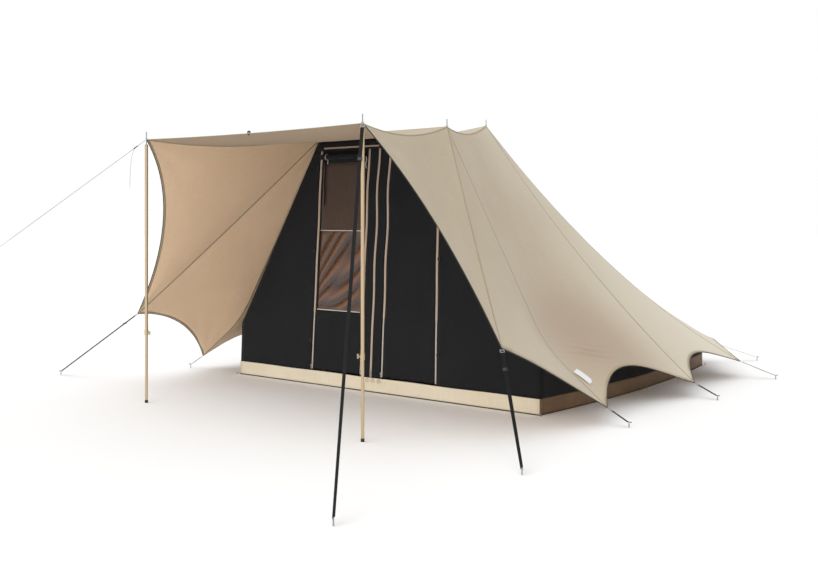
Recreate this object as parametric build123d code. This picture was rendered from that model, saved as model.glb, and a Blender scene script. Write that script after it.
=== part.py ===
from build123d import *

import math
import os

# Cotton frame tent: a fly with an open canopy, on five uprights, over a black inner tent.
# Millimetres, +Z up. The origin is on the ground under the middle of the groundsheet.
# +X is to the right of someone who looks in through the doors, and +Y runs from front to back.

# ---- driving dimensions ------------------------------------------------------------------
DEPTH = 3200            # inner tent, front wall to back wall
HALF_WIDTH = 1620       # inner tent, middle to side wall
FRONT_EAVE = 480        # height of the side wall at the front
REAR_EAVE = 300         # and at the back
SIDE_BOW = 110          # how far the pegged side of the groundsheet bows out
BAND = 125              # height of the groundsheet's upstand
WALL = 3                # modelled thickness of the inner tent's cloth
WALL_LEAN = 90          # how far the front wall's top lies behind its foot
WALL_TOP = 2150         # height of the front wall
HALF_TOP = 700          # half the width of the front wall's top edge
FLY = 4                 # modelled thickness of the fly, measured straight up
ROOF = 3                # and of the inner roof

TUBE_R = 12.5           # upper pole tube
TUBE_WALL = 1.2
RUNNING = 0.25          # clearance between the two tubes of a telescopic pole
LOWER_R = TUBE_R - TUBE_WALL - RUNNING
FOOT = 22               # height of the rubber foot under each pole
SPIKE_R = 4
SPIKE_OUT = 62          # how far a spike stands out above the fly
SPIKE_ROOM = 7          # radius of the eyelet hole that a spike passes through
TUBE_DROP = 46          # from a peak down to the end of its tube
CLAMP_Z = 540           # height of the canopy poles' clamps
OVERLAP = 480           # length of lower tube inside the upper one

STRAP = 25              # width of the webbing
STRAP_THICK = 1.6
CORD_D = 4              # diameter of the thin guy cord
PEG_R = 4
PEG_OUT = 34            # height of a peg's head above the ground
GAP = 0.3               # clearance between pieces of different bodies


def at(x, y, z):
    """A point, with y measured back from the foot of the front wall."""
    return Vector(x, y - DEPTH / 2, z)


def mirrored(point):
    """The same point on the tent's left."""
    return Vector(-point.X, point.Y, point.Z)


# ---- the fly's corners on the right-hand side ----------------------------------------------
CANOPY_PEAK = at(1131, -1461, 2100)
RIDGE_PEAK = at(678, 131, 2216)
REAR_PEAK = at(0, 1743, 2377)
WING = at(1898, -966, 626)
FRONT_CORNER = at(2167, 11, 123)
OVER_EAVE = at(1655, 30, 505)      # where the front seam bends over the inner tent
SIDE_CORNER = at(2235, 1460, 115)
BACK_CORNER = at(2190, 2670, 150)
REAR_CORNER = at(1640, 3500, 190)
REAR_MIDDLE = at(0, 3680, 150)

# ---- the inner tent's corners ----------------------------------------------------------------
EAVE_FRONT = at(HALF_WIDTH, 22, FRONT_EAVE)
EAVE_REAR = at(HALF_WIDTH - 20, DEPTH, REAR_EAVE)
ROOF_FRONT = at(HALF_TOP, 92, WALL_TOP + 6)
ROOF_REAR = at(0, 1743, 1990)

# ---- the zips in the front wall: x at the band, x at the lintel ---------------------------------
LINTEL = 2070
ZIPS = {"left_outer": (-702, -658), "left_inner": (-140, -105), "middle": (-26, 5),
        "right_inner": (95, 122), "right_outer": (655, 630)}
HALF_ZIP = 16           # half the width of the slot that a zip closes
TAPE = 14.5             # width of each zip tape
DOOR_LIFT = 12          # clearance under a door
WINDOW_LOW = 665
WINDOW_SPLIT = 1364
WINDOW_TOP = 1958
WINDOW_LEFT = 24        # cloth left beside the window on the door's outer edge
WINDOW_RIGHT = 28       # and on its inner edge
ROLL_H = 2012           # height of the rolled window cover
ROLL_R = 24

# ---- where the pegs stand ----------------------------------------------------------------------
PEGS = {
    "canopy_right": at(2181, -2912, 0),
    "canopy_left": at(-2690, -3610, 0),
    "wing_right": at(2404, -1548, 0),
    "wing_left": at(-2903, -1077, 0),
    "front_right": at(2328, 22, 0),
    "front_left": at(-2290, -40, 0),
    "side_right": at(2438, 1427, 0),
    "side_left": at(-2438, 1427, 0),
    "back_right": at(2479, 2768, 0),
    "back_left": at(-2479, 2768, 0),
    "rear_right": at(1946, 3862, 0),
    "rear_left": at(-1946, 3862, 0),
    "rear_middle": at(0, 4010, 0),
}

os.makedirs("parts", exist_ok=True)


def save(name, *solids):
    """Write one node as a STEP file."""
    export_step(Compound(children=list(solids)), f"parts/{name}.step")


# ---- curves and sheets --------------------------------------------------------------------------
def blend(start, end, share):
    return start + (end - start) * share


def bowed(start, end, bow, steps):
    """Points on a parabola from start to end, whose middle is pushed by the vector bow."""
    shares = [i / steps for i in range(steps + 1)]
    return [blend(start, end, t) + bow * (4 * t * (1 - t)) for t in shares]


def bent(start, corner, end, steps, share):
    """Points on two straight runs that meet at corner, a given share of the way down."""
    turn = round(steps * share)
    upper = [blend(start, corner, i / turn) for i in range(turn)]
    lower = [blend(corner, end, i / (steps - turn)) for i in range(steps - turn + 1)]
    return upper + lower


def toward(start, end, apex, depth):
    """How a cut edge hollows: from the middle of start-end towards apex, by depth."""
    middle = blend(start, end, 0.5)
    return (apex - middle).normalized() * depth


def coons(top, bottom, left, right):
    """A grid of points over the patch that four border curves bound.

    The hollow of the bottom edge fades out with the square of the height, as in stretched cloth.
    """
    across = len(top) - 1
    down = len(left) - 1
    grid = []
    for j in range(down + 1):
        v = j / down
        row = []
        for i in range(across + 1):
            u = i / across
            ruled = blend(top[i], bottom[i], v * v) + blend(left[j], right[j], u)
            corners = blend(blend(top[0], top[-1], u), blend(bottom[0], bottom[-1], u), v * v)
            row.append(ruled - corners)
        grid.append(row)
    return grid


def polygon(*points):
    """A flat face, or None where the points shrink to a line."""
    distinct = []
    for point in points:
        if all((point - other).length > 1e-4 for other in distinct):
            distinct.append(point)
    if len(distinct) < 3:
        return None
    return Face(Wire.make_polygon(distinct, close=True))


def sheet(grid, lift):
    """A closed solid: the grid's surface, the same surface moved by lift, and the rim between."""
    upper = [[point + lift for point in row] for row in grid]
    faces = []
    for j in range(len(grid) - 1):
        for i in range(len(grid[0]) - 1):
            for layer in (grid, upper):
                a, b = layer[j][i], layer[j][i + 1]
                c, d = layer[j + 1][i + 1], layer[j + 1][i]
                faces += [polygon(a, b, c), polygon(a, c, d)]
    lower_rim = rim(grid)
    upper_rim = rim(upper)
    for k, point in enumerate(lower_rim):
        faces.append(polygon(point, lower_rim[k - 1], upper_rim[k - 1], upper_rim[k]))
    solid = Solid(Shell([face for face in faces if face]))
    return solid if solid.volume > 0 else Solid(solid.wrapped.Reversed())


def rim(grid):
    """The grid's border points, once round."""
    border = list(grid[0])
    border += [row[-1] for row in grid[1:]]
    border += list(reversed(grid[-1][:-1]))
    border += [row[0] for row in reversed(grid[1:-1])]
    return border


def down(length):
    return Vector(0, 0, -length)


UP = Vector(0, 0, 1)


# ---- poles ------------------------------------------------------------------------------------------
def cylinder(foot, radius, height):
    """A round bar that stands on foot."""
    return Pos(*foot) * Cylinder(radius, height, align=(Align.CENTER, Align.CENTER, Align.MIN))


def tube(foot, radius, height):
    return cylinder(foot, radius, height) - cylinder(foot, radius - TUBE_WALL, height)


def rubber_foot(base):
    """A domed rubber foot with a flat underside."""
    body = cylinder(base, LOWER_R + 1.5, FOOT)
    return body - cylinder(base + UP * (FOOT - 6), LOWER_R + GAP, 6)


def canopy_pole(side, base, peak, screw_side):
    """A telescopic pole: the thinner lower tube slides up inside the upper one."""
    lower_top = CLAMP_Z + OVERLAP
    upper_end = peak.Z - TUBE_DROP
    lower_z = FOOT - 6
    save(f"canopy_pole_{side}_lower", tube(base + UP * lower_z, LOWER_R, lower_top - lower_z))
    save(f"canopy_pole_{side}_upper", tube(base + UP * CLAMP_Z, TUBE_R, upper_end - CLAMP_Z))
    save(f"canopy_pole_{side}_foot", rubber_foot(base))
    boss_end = TUBE_R + 9
    shank = Cylinder(2.5, 14)
    wing = Box(30, 3, 11) + Pos(-11, 0, 0) * Box(8, 3, 16) + Pos(11, 0, 0) * Box(8, 3, 16)
    screw = Pos(0, 0, 7) * shank + Pos(0, 0, 19) * wing
    turn = Rot(0, 90 * screw_side, 0)
    place = Pos(base.X + screw_side * (boss_end + GAP), base.Y, CLAMP_Z + 20)
    save(f"wing_screw_{side}", place * turn * screw)


def clamp(base, screw_side):
    """The collar round the lower end of an upper tube, with a boss for the wing screw."""
    ring = cylinder(base + UP * CLAMP_Z, TUBE_R + 3, 40) - cylinder(base + UP * CLAMP_Z, TUBE_R, 40)
    boss = Pos(base.X + screw_side * (TUBE_R + 5), base.Y, CLAMP_Z + 20)
    boss *= Rot(0, 90, 0) * Cylinder(7, 8)
    return ring + (boss - cylinder(base + UP * CLAMP_Z, TUBE_R, 40))


def pole_top(peak):
    """The plug in the tube's end, and the spike that stands out through the fly."""
    plug = cylinder(peak + down(TUBE_DROP), TUBE_R, 5)
    spike = cylinder(peak + down(TUBE_DROP - 5), SPIKE_R, TUBE_DROP - 5 + SPIKE_OUT)
    return plug + spike


def eyelet(peak):
    """The brass eyelet that lies on the fly round a spike."""
    base = peak + UP * (FLY + 2)
    return cylinder(base, 13, 2) - cylinder(base, SPIKE_ROOM - 1, 2)


canopy_feet = {"right": Vector(CANOPY_PEAK.X, CANOPY_PEAK.Y, 0)}
canopy_feet["left"] = mirrored(canopy_feet["right"])
screw_sides = {"right": -1, "left": 1}
for side, base in canopy_feet.items():
    canopy_pole(side, base, CANOPY_PEAK, screw_sides[side])
save("pole_clamps", *[clamp(base, screw_sides[side]) for side, base in canopy_feet.items()])

SHEET_THICK = 4         # groundsheet
ridge_peaks = [RIDGE_PEAK, mirrored(RIDGE_PEAK), REAR_PEAK]
INNER_DROP = 120        # from a ridge peak down to the end of its tube, under the inner roof
JOINT_Z = 1100          # where an upright's two plug-in sections meet
SPIGOT = 60             # how far the spigot reaches each side of that joint


def upright_drop(peak):
    return INNER_DROP if peak.Y < 0 else peak.Z - ROOF_REAR.Z + 60


def upright_foot(peak):
    base = Vector(peak.X, peak.Y, SHEET_THICK + GAP)
    return cylinder(base, TUBE_R + 4, FOOT)


def upright_lower(peak):
    """A tube with a swaged spigot that plugs into the upper section."""
    base = Vector(peak.X, peak.Y, SHEET_THICK + GAP + FOOT)
    joint = Vector(peak.X, peak.Y, JOINT_Z)
    spigot = cylinder(joint + down(SPIGOT), LOWER_R, 2 * SPIGOT)
    spigot += cylinder(joint + down(SPIGOT), TUBE_R - TUBE_WALL, SPIGOT)
    bore = cylinder(joint + down(SPIGOT), LOWER_R - TUBE_WALL, 2 * SPIGOT)
    return tube(base, TUBE_R, JOINT_Z - base.Z) + (spigot - bore)


def upright_upper(peak):
    base = Vector(peak.X, peak.Y, JOINT_Z + GAP)
    return tube(base, TUBE_R, peak.Z - upright_drop(peak) - base.Z)


def upright_spike(peak):
    drop = upright_drop(peak)
    plug = cylinder(peak + down(drop), TUBE_R, 5)
    return plug + cylinder(peak + down(drop - 5), SPIKE_R, drop - 5 + SPIKE_OUT)


save("upright_feet", *[upright_foot(peak) for peak in ridge_peaks])
save("upright_lower_tubes", *[upright_lower(peak) for peak in ridge_peaks])
save("upright_upper_tubes", *[upright_upper(peak) for peak in ridge_peaks])
canopy_peaks = [CANOPY_PEAK, mirrored(CANOPY_PEAK)]
spikes = [pole_top(peak) for peak in canopy_peaks] + [upright_spike(peak) for peak in ridge_peaks]
save("pole_spikes", *spikes)
save("spike_eyelets", *[eyelet(peak) for peak in canopy_peaks + ridge_peaks])

BAR_R = 11
bar_z = RIDGE_PEAK.Z - INNER_DROP - 40
bar_length = 2 * (RIDGE_PEAK.X - TUBE_R - 0.5)
save("spreader_bar", Pos(0, RIDGE_PEAK.Y, bar_z) * Rot(0, 90, 0) * Cylinder(BAR_R, bar_length))

# ---- the fly ------------------------------------------------------------------------------------------
STEPS = 4
SEAM_DROP = down(225)
FREE_HOLLOW = 200       # how far the canopy's free side edges are cut in
FRONT_HOLLOWS = {"right": 25, "left": 150}      # the hem between the wing and the front corner
SIDE_HOLLOW = 290
BACK_HOLLOW = 240
CORNER_HOLLOW = 170
REAR_HOLLOW = 200


def fly_side(front_hollow):
    """The panels on one side between the canopy and the rear corner, as grids on the right."""
    ridge_front = bowed(CANOPY_PEAK, RIDGE_PEAK, down(72), STEPS)
    ridge_back = bowed(RIDGE_PEAK, REAR_PEAK, down(68), STEPS)
    wing_seam = bowed(RIDGE_PEAK, WING, down(15), STEPS)
    front_seam = bent(RIDGE_PEAK, OVER_EAVE, FRONT_CORNER, STEPS, 0.75)
    side_seam = bowed(REAR_PEAK, SIDE_CORNER, down(130), STEPS)
    back_seam = bowed(REAR_PEAK, BACK_CORNER, SEAM_DROP, STEPS)
    rear_seam = bowed(REAR_PEAK, REAR_CORNER, SEAM_DROP, STEPS)
    peak_of_ridge = [RIDGE_PEAK] * (STEPS + 1)
    peak_of_rear = [REAR_PEAK] * (STEPS + 1)
    side_apex = blend(RIDGE_PEAK, REAR_PEAK, 0.5)
    free = bowed(CANOPY_PEAK, WING, toward(CANOPY_PEAK, WING, RIDGE_PEAK, FREE_HOLLOW), STEPS)
    wing = coons(ridge_front, [WING] * (STEPS + 1), free, wing_seam)
    front_cut = toward(WING, FRONT_CORNER, RIDGE_PEAK, front_hollow)
    front_edge = bowed(WING, FRONT_CORNER, front_cut, STEPS)
    front = coons(peak_of_ridge, front_edge, wing_seam, front_seam)
    side_cut = toward(FRONT_CORNER, SIDE_CORNER, side_apex, SIDE_HOLLOW)
    side_edge = bowed(FRONT_CORNER, SIDE_CORNER, side_cut, STEPS)
    side_panel = coons(ridge_back, side_edge, front_seam, side_seam)
    back_cut = toward(SIDE_CORNER, BACK_CORNER, REAR_PEAK, BACK_HOLLOW)
    back_edge = bowed(SIDE_CORNER, BACK_CORNER, back_cut, STEPS)
    back = coons(peak_of_rear, back_edge, side_seam, back_seam)
    corner_cut = toward(BACK_CORNER, REAR_CORNER, REAR_PEAK, CORNER_HOLLOW)
    corner_edge = bowed(BACK_CORNER, REAR_CORNER, corner_cut, STEPS)
    corner = coons(peak_of_rear, corner_edge, back_seam, rear_seam)
    return {"wing": [wing, front], "side": [side_panel, back, corner]}


def left(grid):
    """The same grid on the tent's left."""
    return [[mirrored(point) for point in row] for row in grid]


def eyelet_holes(solid):
    for peak in canopy_peaks + ridge_peaks:
        solid -= cylinder(peak + down(60), SPIKE_ROOM, 120)
    return solid


def fly_solid(grid):
    return eyelet_holes(sheet(grid, UP * FLY))


def save_fly(name, grids):
    save(name, *[fly_solid(grid) for grid in grids])


for name, grids in fly_side(FRONT_HOLLOWS["right"]).items():
    save_fly(f"fly_{name}_right", grids)
for name, grids in fly_side(FRONT_HOLLOWS["left"]).items():
    save_fly(f"fly_{name}_left", [left(grid) for grid in grids])

front_hem = bowed(canopy_peaks[1], CANOPY_PEAK, down(12), STEPS)
spread_line = bowed(mirrored(RIDGE_PEAK), RIDGE_PEAK, down(4), STEPS)
ridge_right = bowed(CANOPY_PEAK, RIDGE_PEAK, down(72), STEPS)
ridge_left = [mirrored(point) for point in ridge_right]
save_fly("fly_canopy", [coons(front_hem, spread_line, ridge_left, ridge_right)])
top_right = bowed(RIDGE_PEAK, REAR_PEAK, down(68), STEPS)
top_left = [mirrored(point) for point in top_right]
save_fly("fly_top", [coons(spread_line, [REAR_PEAK] * (STEPS + 1), top_left, top_right)])
rear_cut = toward(REAR_CORNER, REAR_MIDDLE, REAR_PEAK, REAR_HOLLOW)
rear_right = coons([REAR_PEAK] * (STEPS + 1), bowed(REAR_CORNER, REAR_MIDDLE, rear_cut, STEPS),
                   bowed(REAR_PEAK, REAR_CORNER, SEAM_DROP, STEPS),
                   bowed(REAR_PEAK, REAR_MIDDLE, down(150), STEPS))
save_fly("fly_rear", [rear_right, left(rear_right)])

# ---- the inner tent ---------------------------------------------------------------------------------------
BOW_STEPS = 4
SIDE_START = 7          # the side wall starts behind the leaning front wall
side_foot = bowed(at(HALF_WIDTH, SIDE_START, BAND), at(HALF_WIDTH, DEPTH, BAND),
                  Vector(SIDE_BOW, 0, 0), BOW_STEPS)
side_eave = bowed(EAVE_FRONT, EAVE_REAR, Vector(0, 0, 0), BOW_STEPS)
side_grid = coons(side_eave, side_foot, [side_eave[0], side_foot[0]], [side_eave[-1], side_foot[-1]])
INWARD = Vector(-WALL, 0, 0)
save("inner_side_wall_right", sheet(side_grid, INWARD))
save("inner_side_wall_left", sheet(left(side_grid), INWARD * -1))

rear_outline = [at(-EAVE_REAR.X + 5, 0, BAND), at(EAVE_REAR.X - 5, 0, BAND),
                at(EAVE_REAR.X - 5, 0, REAR_EAVE), at(-EAVE_REAR.X + 5, 0, REAR_EAVE)]
rear_face = polygon(*[point + Vector(0, DEPTH + GAP, 0) for point in rear_outline])
save("inner_rear_wall", extrude(rear_face, amount=WALL, dir=(0, 1, 0)))

roof_edge = bowed(ROOF_FRONT, ROOF_REAR, down(30), STEPS)
roof_hip = bowed(ROOF_REAR, EAVE_REAR, down(110), STEPS)
roof_verge = bowed(ROOF_FRONT, EAVE_FRONT, Vector(0, 0, 0), STEPS)
roof_side = coons(roof_edge, side_eave, roof_verge, roof_hip)
roof_front = bowed(mirrored(ROOF_FRONT), ROOF_FRONT, Vector(0, 0, 0), STEPS)
roof_top = coons(roof_front, [ROOF_REAR] * (STEPS + 1), [mirrored(p) for p in roof_edge], roof_edge)
rear_eave = bowed(EAVE_REAR, mirrored(EAVE_REAR), Vector(0, 0, 0), STEPS)
roof_rear = coons([ROOF_REAR] * (STEPS + 1), rear_eave, roof_hip, [mirrored(p) for p in roof_hip])


def roof_solid(grid):
    """An inner roof panel, with room for the spikes that pass through it."""
    return roof_holes(sheet(grid, UP * ROOF))


def roof_holes(solid):
    for peak in ridge_peaks:
        solid -= cylinder(peak + down(500), SPIKE_ROOM, 560)
    return solid


save("inner_roof_right", roof_solid(roof_side))
save("inner_roof_left", roof_solid(left(roof_side)))
save("inner_roof_top", roof_solid(roof_top))
save("inner_roof_rear", roof_solid(roof_rear))

# ---- groundsheet and its upstand ------------------------------------------------------------------------
BOW = Vector(SIDE_BOW, 0, 0)
FLOOR_HALF = HALF_WIDTH - 4     # the floor stops inside its upstand
floor_right = bowed(at(FLOOR_HALF, 0, 0), at(FLOOR_HALF, DEPTH, 0), BOW, BOW_STEPS)
floor_left = [mirrored(point) for point in reversed(floor_right)]
save("groundsheet", extrude(polygon(*floor_right, *floor_left), amount=SHEET_THICK, dir=(0, 0, 1)))


def upstand(start, end, outward):
    """One straight strip of the beige upstand."""
    face = polygon(start, end, end + outward * WALL, start + outward * WALL)
    return extrude(face, amount=BAND - GAP, dir=(0, 0, 1))


side_strip = bowed(at(HALF_WIDTH, 0, 0), at(HALF_WIDTH, DEPTH, 0), BOW, BOW_STEPS)
strips = []
for start, end in zip(side_strip, side_strip[1:]):
    strips.append(upstand(start, end, Vector(1, 0, 0)))
    strips.append(upstand(mirrored(start), mirrored(end), Vector(-1, 0, 0)))
strips.append(upstand(at(-HALF_WIDTH, 0, 0), at(HALF_WIDTH, 0, 0), Vector(0, -1, 0)))
strips.append(upstand(at(-HALF_WIDTH, DEPTH, 0), at(HALF_WIDTH, DEPTH, 0), Vector(0, 1, 0)))
save("groundsheet_upstand", *strips)

# ---- the front wall, in its own leaning plane: x across, h up the slope, depth outward -----------------
lean = math.atan2(WALL_LEAN, WALL_TOP)
wall_plane = Plane(origin=tuple(at(0, 0, 0)), x_dir=(1, 0, 0), z_dir=(0, -math.cos(lean), math.sin(lean)))


def panel(points, near, far):
    """A flat piece of cloth in the wall's plane, between two depths in front of it."""
    outline = Face(Wire.make_polygon([Vector(x, h, near) for x, h in points], close=True))
    return wall_plane * extrude(outline, amount=far - near, dir=(0, 0, 1))


def zip_x(name, height):
    low, high = ZIPS[name]
    return low + (high - low) * (height - BAND) / (LINTEL - BAND)


def verge_x(height):
    """Half the wall's width at a height, above the eave."""
    share = (height - FRONT_EAVE) / (WALL_TOP - FRONT_EAVE)
    return HALF_WIDTH - (HALF_WIDTH - HALF_TOP) * share


def between(left_zip, left_shift, right_zip, right_shift, low, high):
    """The outline between two zip lines, each moved sideways."""
    return [(zip_x(left_zip, low) + left_shift, low), (zip_x(right_zip, low) + right_shift, low),
            (zip_x(right_zip, high) + right_shift, high), (zip_x(left_zip, high) + left_shift, high)]


wall_left = [(-HALF_WIDTH, BAND), (zip_x("left_outer", BAND) - HALF_ZIP, BAND),
             (zip_x("left_outer", LINTEL) - HALF_ZIP, LINTEL), (-verge_x(LINTEL), LINTEL),
             (-HALF_WIDTH, FRONT_EAVE)]
wall_right = [(zip_x("right_outer", BAND) + HALF_ZIP, BAND), (HALF_WIDTH, BAND),
              (HALF_WIDTH, FRONT_EAVE), (verge_x(LINTEL), LINTEL),
              (zip_x("right_outer", LINTEL) + HALF_ZIP, LINTEL)]
wall_middle = between("left_inner", HALF_ZIP, "right_inner", -HALF_ZIP, BAND, LINTEL)
wall_head = [(-verge_x(LINTEL), LINTEL), (verge_x(LINTEL), LINTEL), (HALF_TOP, WALL_TOP),
             (-HALF_TOP, WALL_TOP)]
wall_outlines = (wall_left, wall_middle, wall_right, wall_head)
save("inner_front_wall", *[panel(outline, 0, WALL) for outline in wall_outlines])

door_low = BAND + DOOR_LIFT
door_high = LINTEL - 4
left_door = panel(between("left_outer", HALF_ZIP, "left_inner", -HALF_ZIP, door_low, door_high), 0, WALL)
inset_left = HALF_ZIP + WINDOW_LEFT
inset_right = -HALF_ZIP - WINDOW_RIGHT
window_outline = between("left_outer", inset_left, "left_inner", inset_right, WINDOW_LOW, WINDOW_TOP)
window = panel(window_outline, 0, WALL)
save("left_door_panel", left_door - window)
REBATE = 0.5            # the window panes stop this far inside the opening
mesh_outline = between("left_outer", inset_left + REBATE, "left_inner", inset_right - REBATE,
                       WINDOW_SPLIT + REBATE, WINDOW_TOP - REBATE)
vinyl_outline = between("left_outer", inset_left + REBATE, "left_inner", inset_right - REBATE,
                        WINDOW_LOW + REBATE, WINDOW_SPLIT - REBATE)
save("window_mesh", panel(mesh_outline, 1, 2))
save("window_vinyl", panel(vinyl_outline, 1, 2))
save("right_door_panel",
     panel(between("right_inner", HALF_ZIP, "right_outer", -HALF_ZIP, door_low, door_high), 0, WALL))


def tape(name, near, far, low, high):
    """A zip tape on one side of a zip line."""
    return panel(between(name, near, name, far, low, high), 0.5, 2)


outer_edge = HALF_ZIP - TAPE
save("left_door_zip_tapes", tape("left_outer", outer_edge, HALF_ZIP, door_low, door_high),
     tape("left_inner", -HALF_ZIP, -outer_edge, door_low, door_high))
save("right_door_zip_tapes", tape("right_inner", outer_edge, HALF_ZIP, door_low, door_high),
     tape("right_outer", -HALF_ZIP, -outer_edge, door_low, door_high))
TAPE_THICK = 1.5
on_cloth = (WALL, WALL + TAPE_THICK)
middle_tape = panel(between("middle", -TAPE, "middle", TAPE, BAND, LINTEL), *on_cloth)
HEAD_TAPE = {"left": -632, "right": 2, "low": LINTEL + 12, "high": LINTEL + 34}
head_outline = [(HEAD_TAPE["left"], HEAD_TAPE["low"]), (HEAD_TAPE["right"], HEAD_TAPE["low"]),
                (HEAD_TAPE["right"], HEAD_TAPE["high"]), (HEAD_TAPE["left"], HEAD_TAPE["high"])]
head_tape = panel(head_outline, *on_cloth)
save("wall_zip_tapes", tape("left_outer", -HALF_ZIP, -outer_edge, BAND, LINTEL),
     tape("left_inner", outer_edge, HALF_ZIP, BAND, LINTEL),
     tape("right_inner", -HALF_ZIP, -outer_edge, BAND, LINTEL),
     tape("right_outer", outer_edge, HALF_ZIP, BAND, LINTEL), middle_tape, head_tape)


def in_wall(x, height, depth):
    """A place in front of the wall, turned to its slope."""
    return wall_plane * Pos(x, height, depth)


SLIDER_H = BAND + 42    # height of the zip sliders at rest
slider_shift = {"left_outer": -9, "left_inner": 9, "middle": 0, "right_inner": -9, "right_outer": 9}
for name, shift in slider_shift.items():
    front = WALL + TAPE_THICK if name == "middle" else WALL
    body = in_wall(zip_x(name, SLIDER_H) + shift, SLIDER_H, front + GAP + 3) * Box(12, 18, 6)
    pull = in_wall(zip_x(name, SLIDER_H) + shift, SLIDER_H - 20, front + GAP + 3) * Box(6, 24, 2)
    save(f"zip_slider_{name}", body + pull)

roll_left = zip_x("left_outer", ROLL_H) + HALF_ZIP + 4
roll_right = zip_x("left_inner", ROLL_H) - HALF_ZIP - 4
roll_length = roll_right - roll_left
ROLL_DEPTH = WALL + GAP + ROLL_R + 2        # from the wall to the middle of the roll
roll_place = in_wall((roll_left + roll_right) / 2, ROLL_H, ROLL_DEPTH)
save("window_cover_roll", roll_place * Rot(0, 90, 0) * Cylinder(ROLL_R, roll_length))
ties = []
for share in (0.12, 0.88):
    place = in_wall(roll_left + roll_length * share, ROLL_H, ROLL_DEPTH) * Rot(0, 90, 0)
    ties.append(place * (Cylinder(ROLL_R + 1.8, 9) - Cylinder(ROLL_R + GAP, 9)))
save("cover_ties", *ties)

toggle_places = [("left_outer", -30, 1924), ("left_outer", -30, 1180), ("left_outer", -30, 389),
                 ("right_outer", 30, 1143), ("right_outer", 30, 371)]
toggles = []
TOGGLE_R = 5
TOGGLE_LENGTH = 34
for name, shift, height in toggle_places:
    place = in_wall(zip_x(name, height) + shift, height, WALL + GAP + TOGGLE_R)
    toggles.append(place * Rot(90, 0, 0) * Cylinder(TOGGLE_R, TOGGLE_LENGTH))
save("door_toggles", *toggles)

# ---- rings, straps, cord and pegs ------------------------------------------------------------------------
corners = {"wing_right": WING, "front_right": FRONT_CORNER, "side_right": SIDE_CORNER,
           "back_right": BACK_CORNER, "rear_right": REAR_CORNER}
corners.update({name.replace("right", "left"): mirrored(point) for name, point in corners.items()})
corners["rear_middle"] = REAR_MIDDLE
corners["canopy_right"] = CANOPY_PEAK
corners["canopy_left"] = mirrored(CANOPY_PEAK)

RING_OUT = 26           # from the fly's corner to the middle of its ring
STRAP_OUT = 40          # and to the start of the strap


def pull(name):
    """Unit vector from a corner to the head of its peg."""
    return (PEGS[name] + UP * PEG_OUT - corners[name]).normalized()


def frame_along(point, direction):
    """A plane whose x runs along direction and whose z is as upright as it can be."""
    across = direction.cross(UP).normalized()
    return Plane(origin=tuple(point), x_dir=tuple(direction), z_dir=tuple(across.cross(direction)))


def ring(name):
    """A flat oval ring between the fly's corner and its strap."""
    outer = Box(24, 30, 3)
    return frame_along(corners[name] + pull(name) * RING_OUT, pull(name)) * (outer - Box(17, 23, 3))


save("corner_rings", *[ring(name) for name in corners])


def strap_ends(name):
    start = corners[name] + pull(name) * STRAP_OUT
    return start, PEGS[name] + UP * PEG_OUT - pull(name) * (PEG_R + 3)


def strap(name):
    """A taut flat strap from the ring to the peg."""
    start, end = strap_ends(name)
    length = (end - start).length
    return frame_along(blend(start, end, 0.5), pull(name)) * Box(length, STRAP, STRAP_THICK)


save("canopy_strap_right", strap("canopy_right"))
save("wing_strap_right", strap("wing_right"))
save("wing_strap_left", strap("wing_left"))
short_straps = ["front_right", "front_left", "side_right", "side_left", "back_right", "back_left",
                "rear_right", "rear_left", "rear_middle"]
save("short_straps", *[strap(name) for name in short_straps])

TENSIONER_AT = 105      # distance of the cord tensioner from the pole top
cord_start, cord_end = strap_ends("canopy_left")
cord_pull = pull("canopy_left")
tensioner_mid = corners["canopy_left"] + cord_pull * TENSIONER_AT
cord_from = tensioner_mid + cord_pull * 22
cord_length = (cord_end - cord_from).length
save("canopy_cord_left", frame_along(blend(cord_from, cord_end, 0.5), cord_pull)
     * Rot(0, 90, 0) * Cylinder(CORD_D / 2, cord_length))
lead_end = tensioner_mid - cord_pull * 22
lead = frame_along(blend(cord_start, lead_end, 0.5), cord_pull)
save("canopy_lead_left", lead * Box((lead_end - cord_start).length, STRAP, STRAP_THICK))
tensioner = Box(40, 24, 7) - Pos(-8, 0, 0) * Box(5, 18, 7) - Pos(8, 0, 0) * Box(5, 18, 7)
save("cord_tensioner", frame_along(tensioner_mid, cord_pull) * tensioner)

TAIL_POINTS = [(-30, -14), (-52, -70), (-58, -150), (-62, -235), (-66, -318)]   # out, then down
out_x = cord_pull.X / math.hypot(cord_pull.X, cord_pull.Y)
out_y = cord_pull.Y / math.hypot(cord_pull.X, cord_pull.Y)
tail_route = [tensioner_mid + Vector(out_x * (-out - 20), out_y * (-out - 20), rise)
              for out, rise in TAIL_POINTS]
tail_pieces = []
for start, end in zip(tail_route, tail_route[1:]):
    run = frame_along(blend(start, end, 0.5), (end - start).normalized())
    tail_pieces.append(run * Box((end - start).length, STRAP, STRAP_THICK))
save("canopy_cord_tail", tail_pieces[0] + tail_pieces[1] + tail_pieces[2] + tail_pieces[3])


def buckle(name, distance):
    """A ladder buckle that the strap runs through."""
    body = Box(26, 30, 7) - Box(26, STRAP + 1, STRAP_THICK + 1)
    return frame_along(corners[name] + pull(name) * distance, pull(name)) * body


BUCKLE_AT = {"canopy_right": 330, "wing_right": 190, "wing_left": 190}
for name, distance in BUCKLE_AT.items():
    save(f"strap_buckle_{name}", buckle(name, distance))


def peg(place, direction):
    """The part of a steel peg that stands above the ground, with a hook that faces away."""
    shank = cylinder(place, PEG_R, PEG_OUT + 8)
    away = Vector(direction.X, direction.Y, 0).normalized()
    hook = frame_along(place + away * (PEG_R + 6) + UP * (PEG_OUT + 4), away) * Box(20, 8, 8)
    return shank + hook


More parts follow.
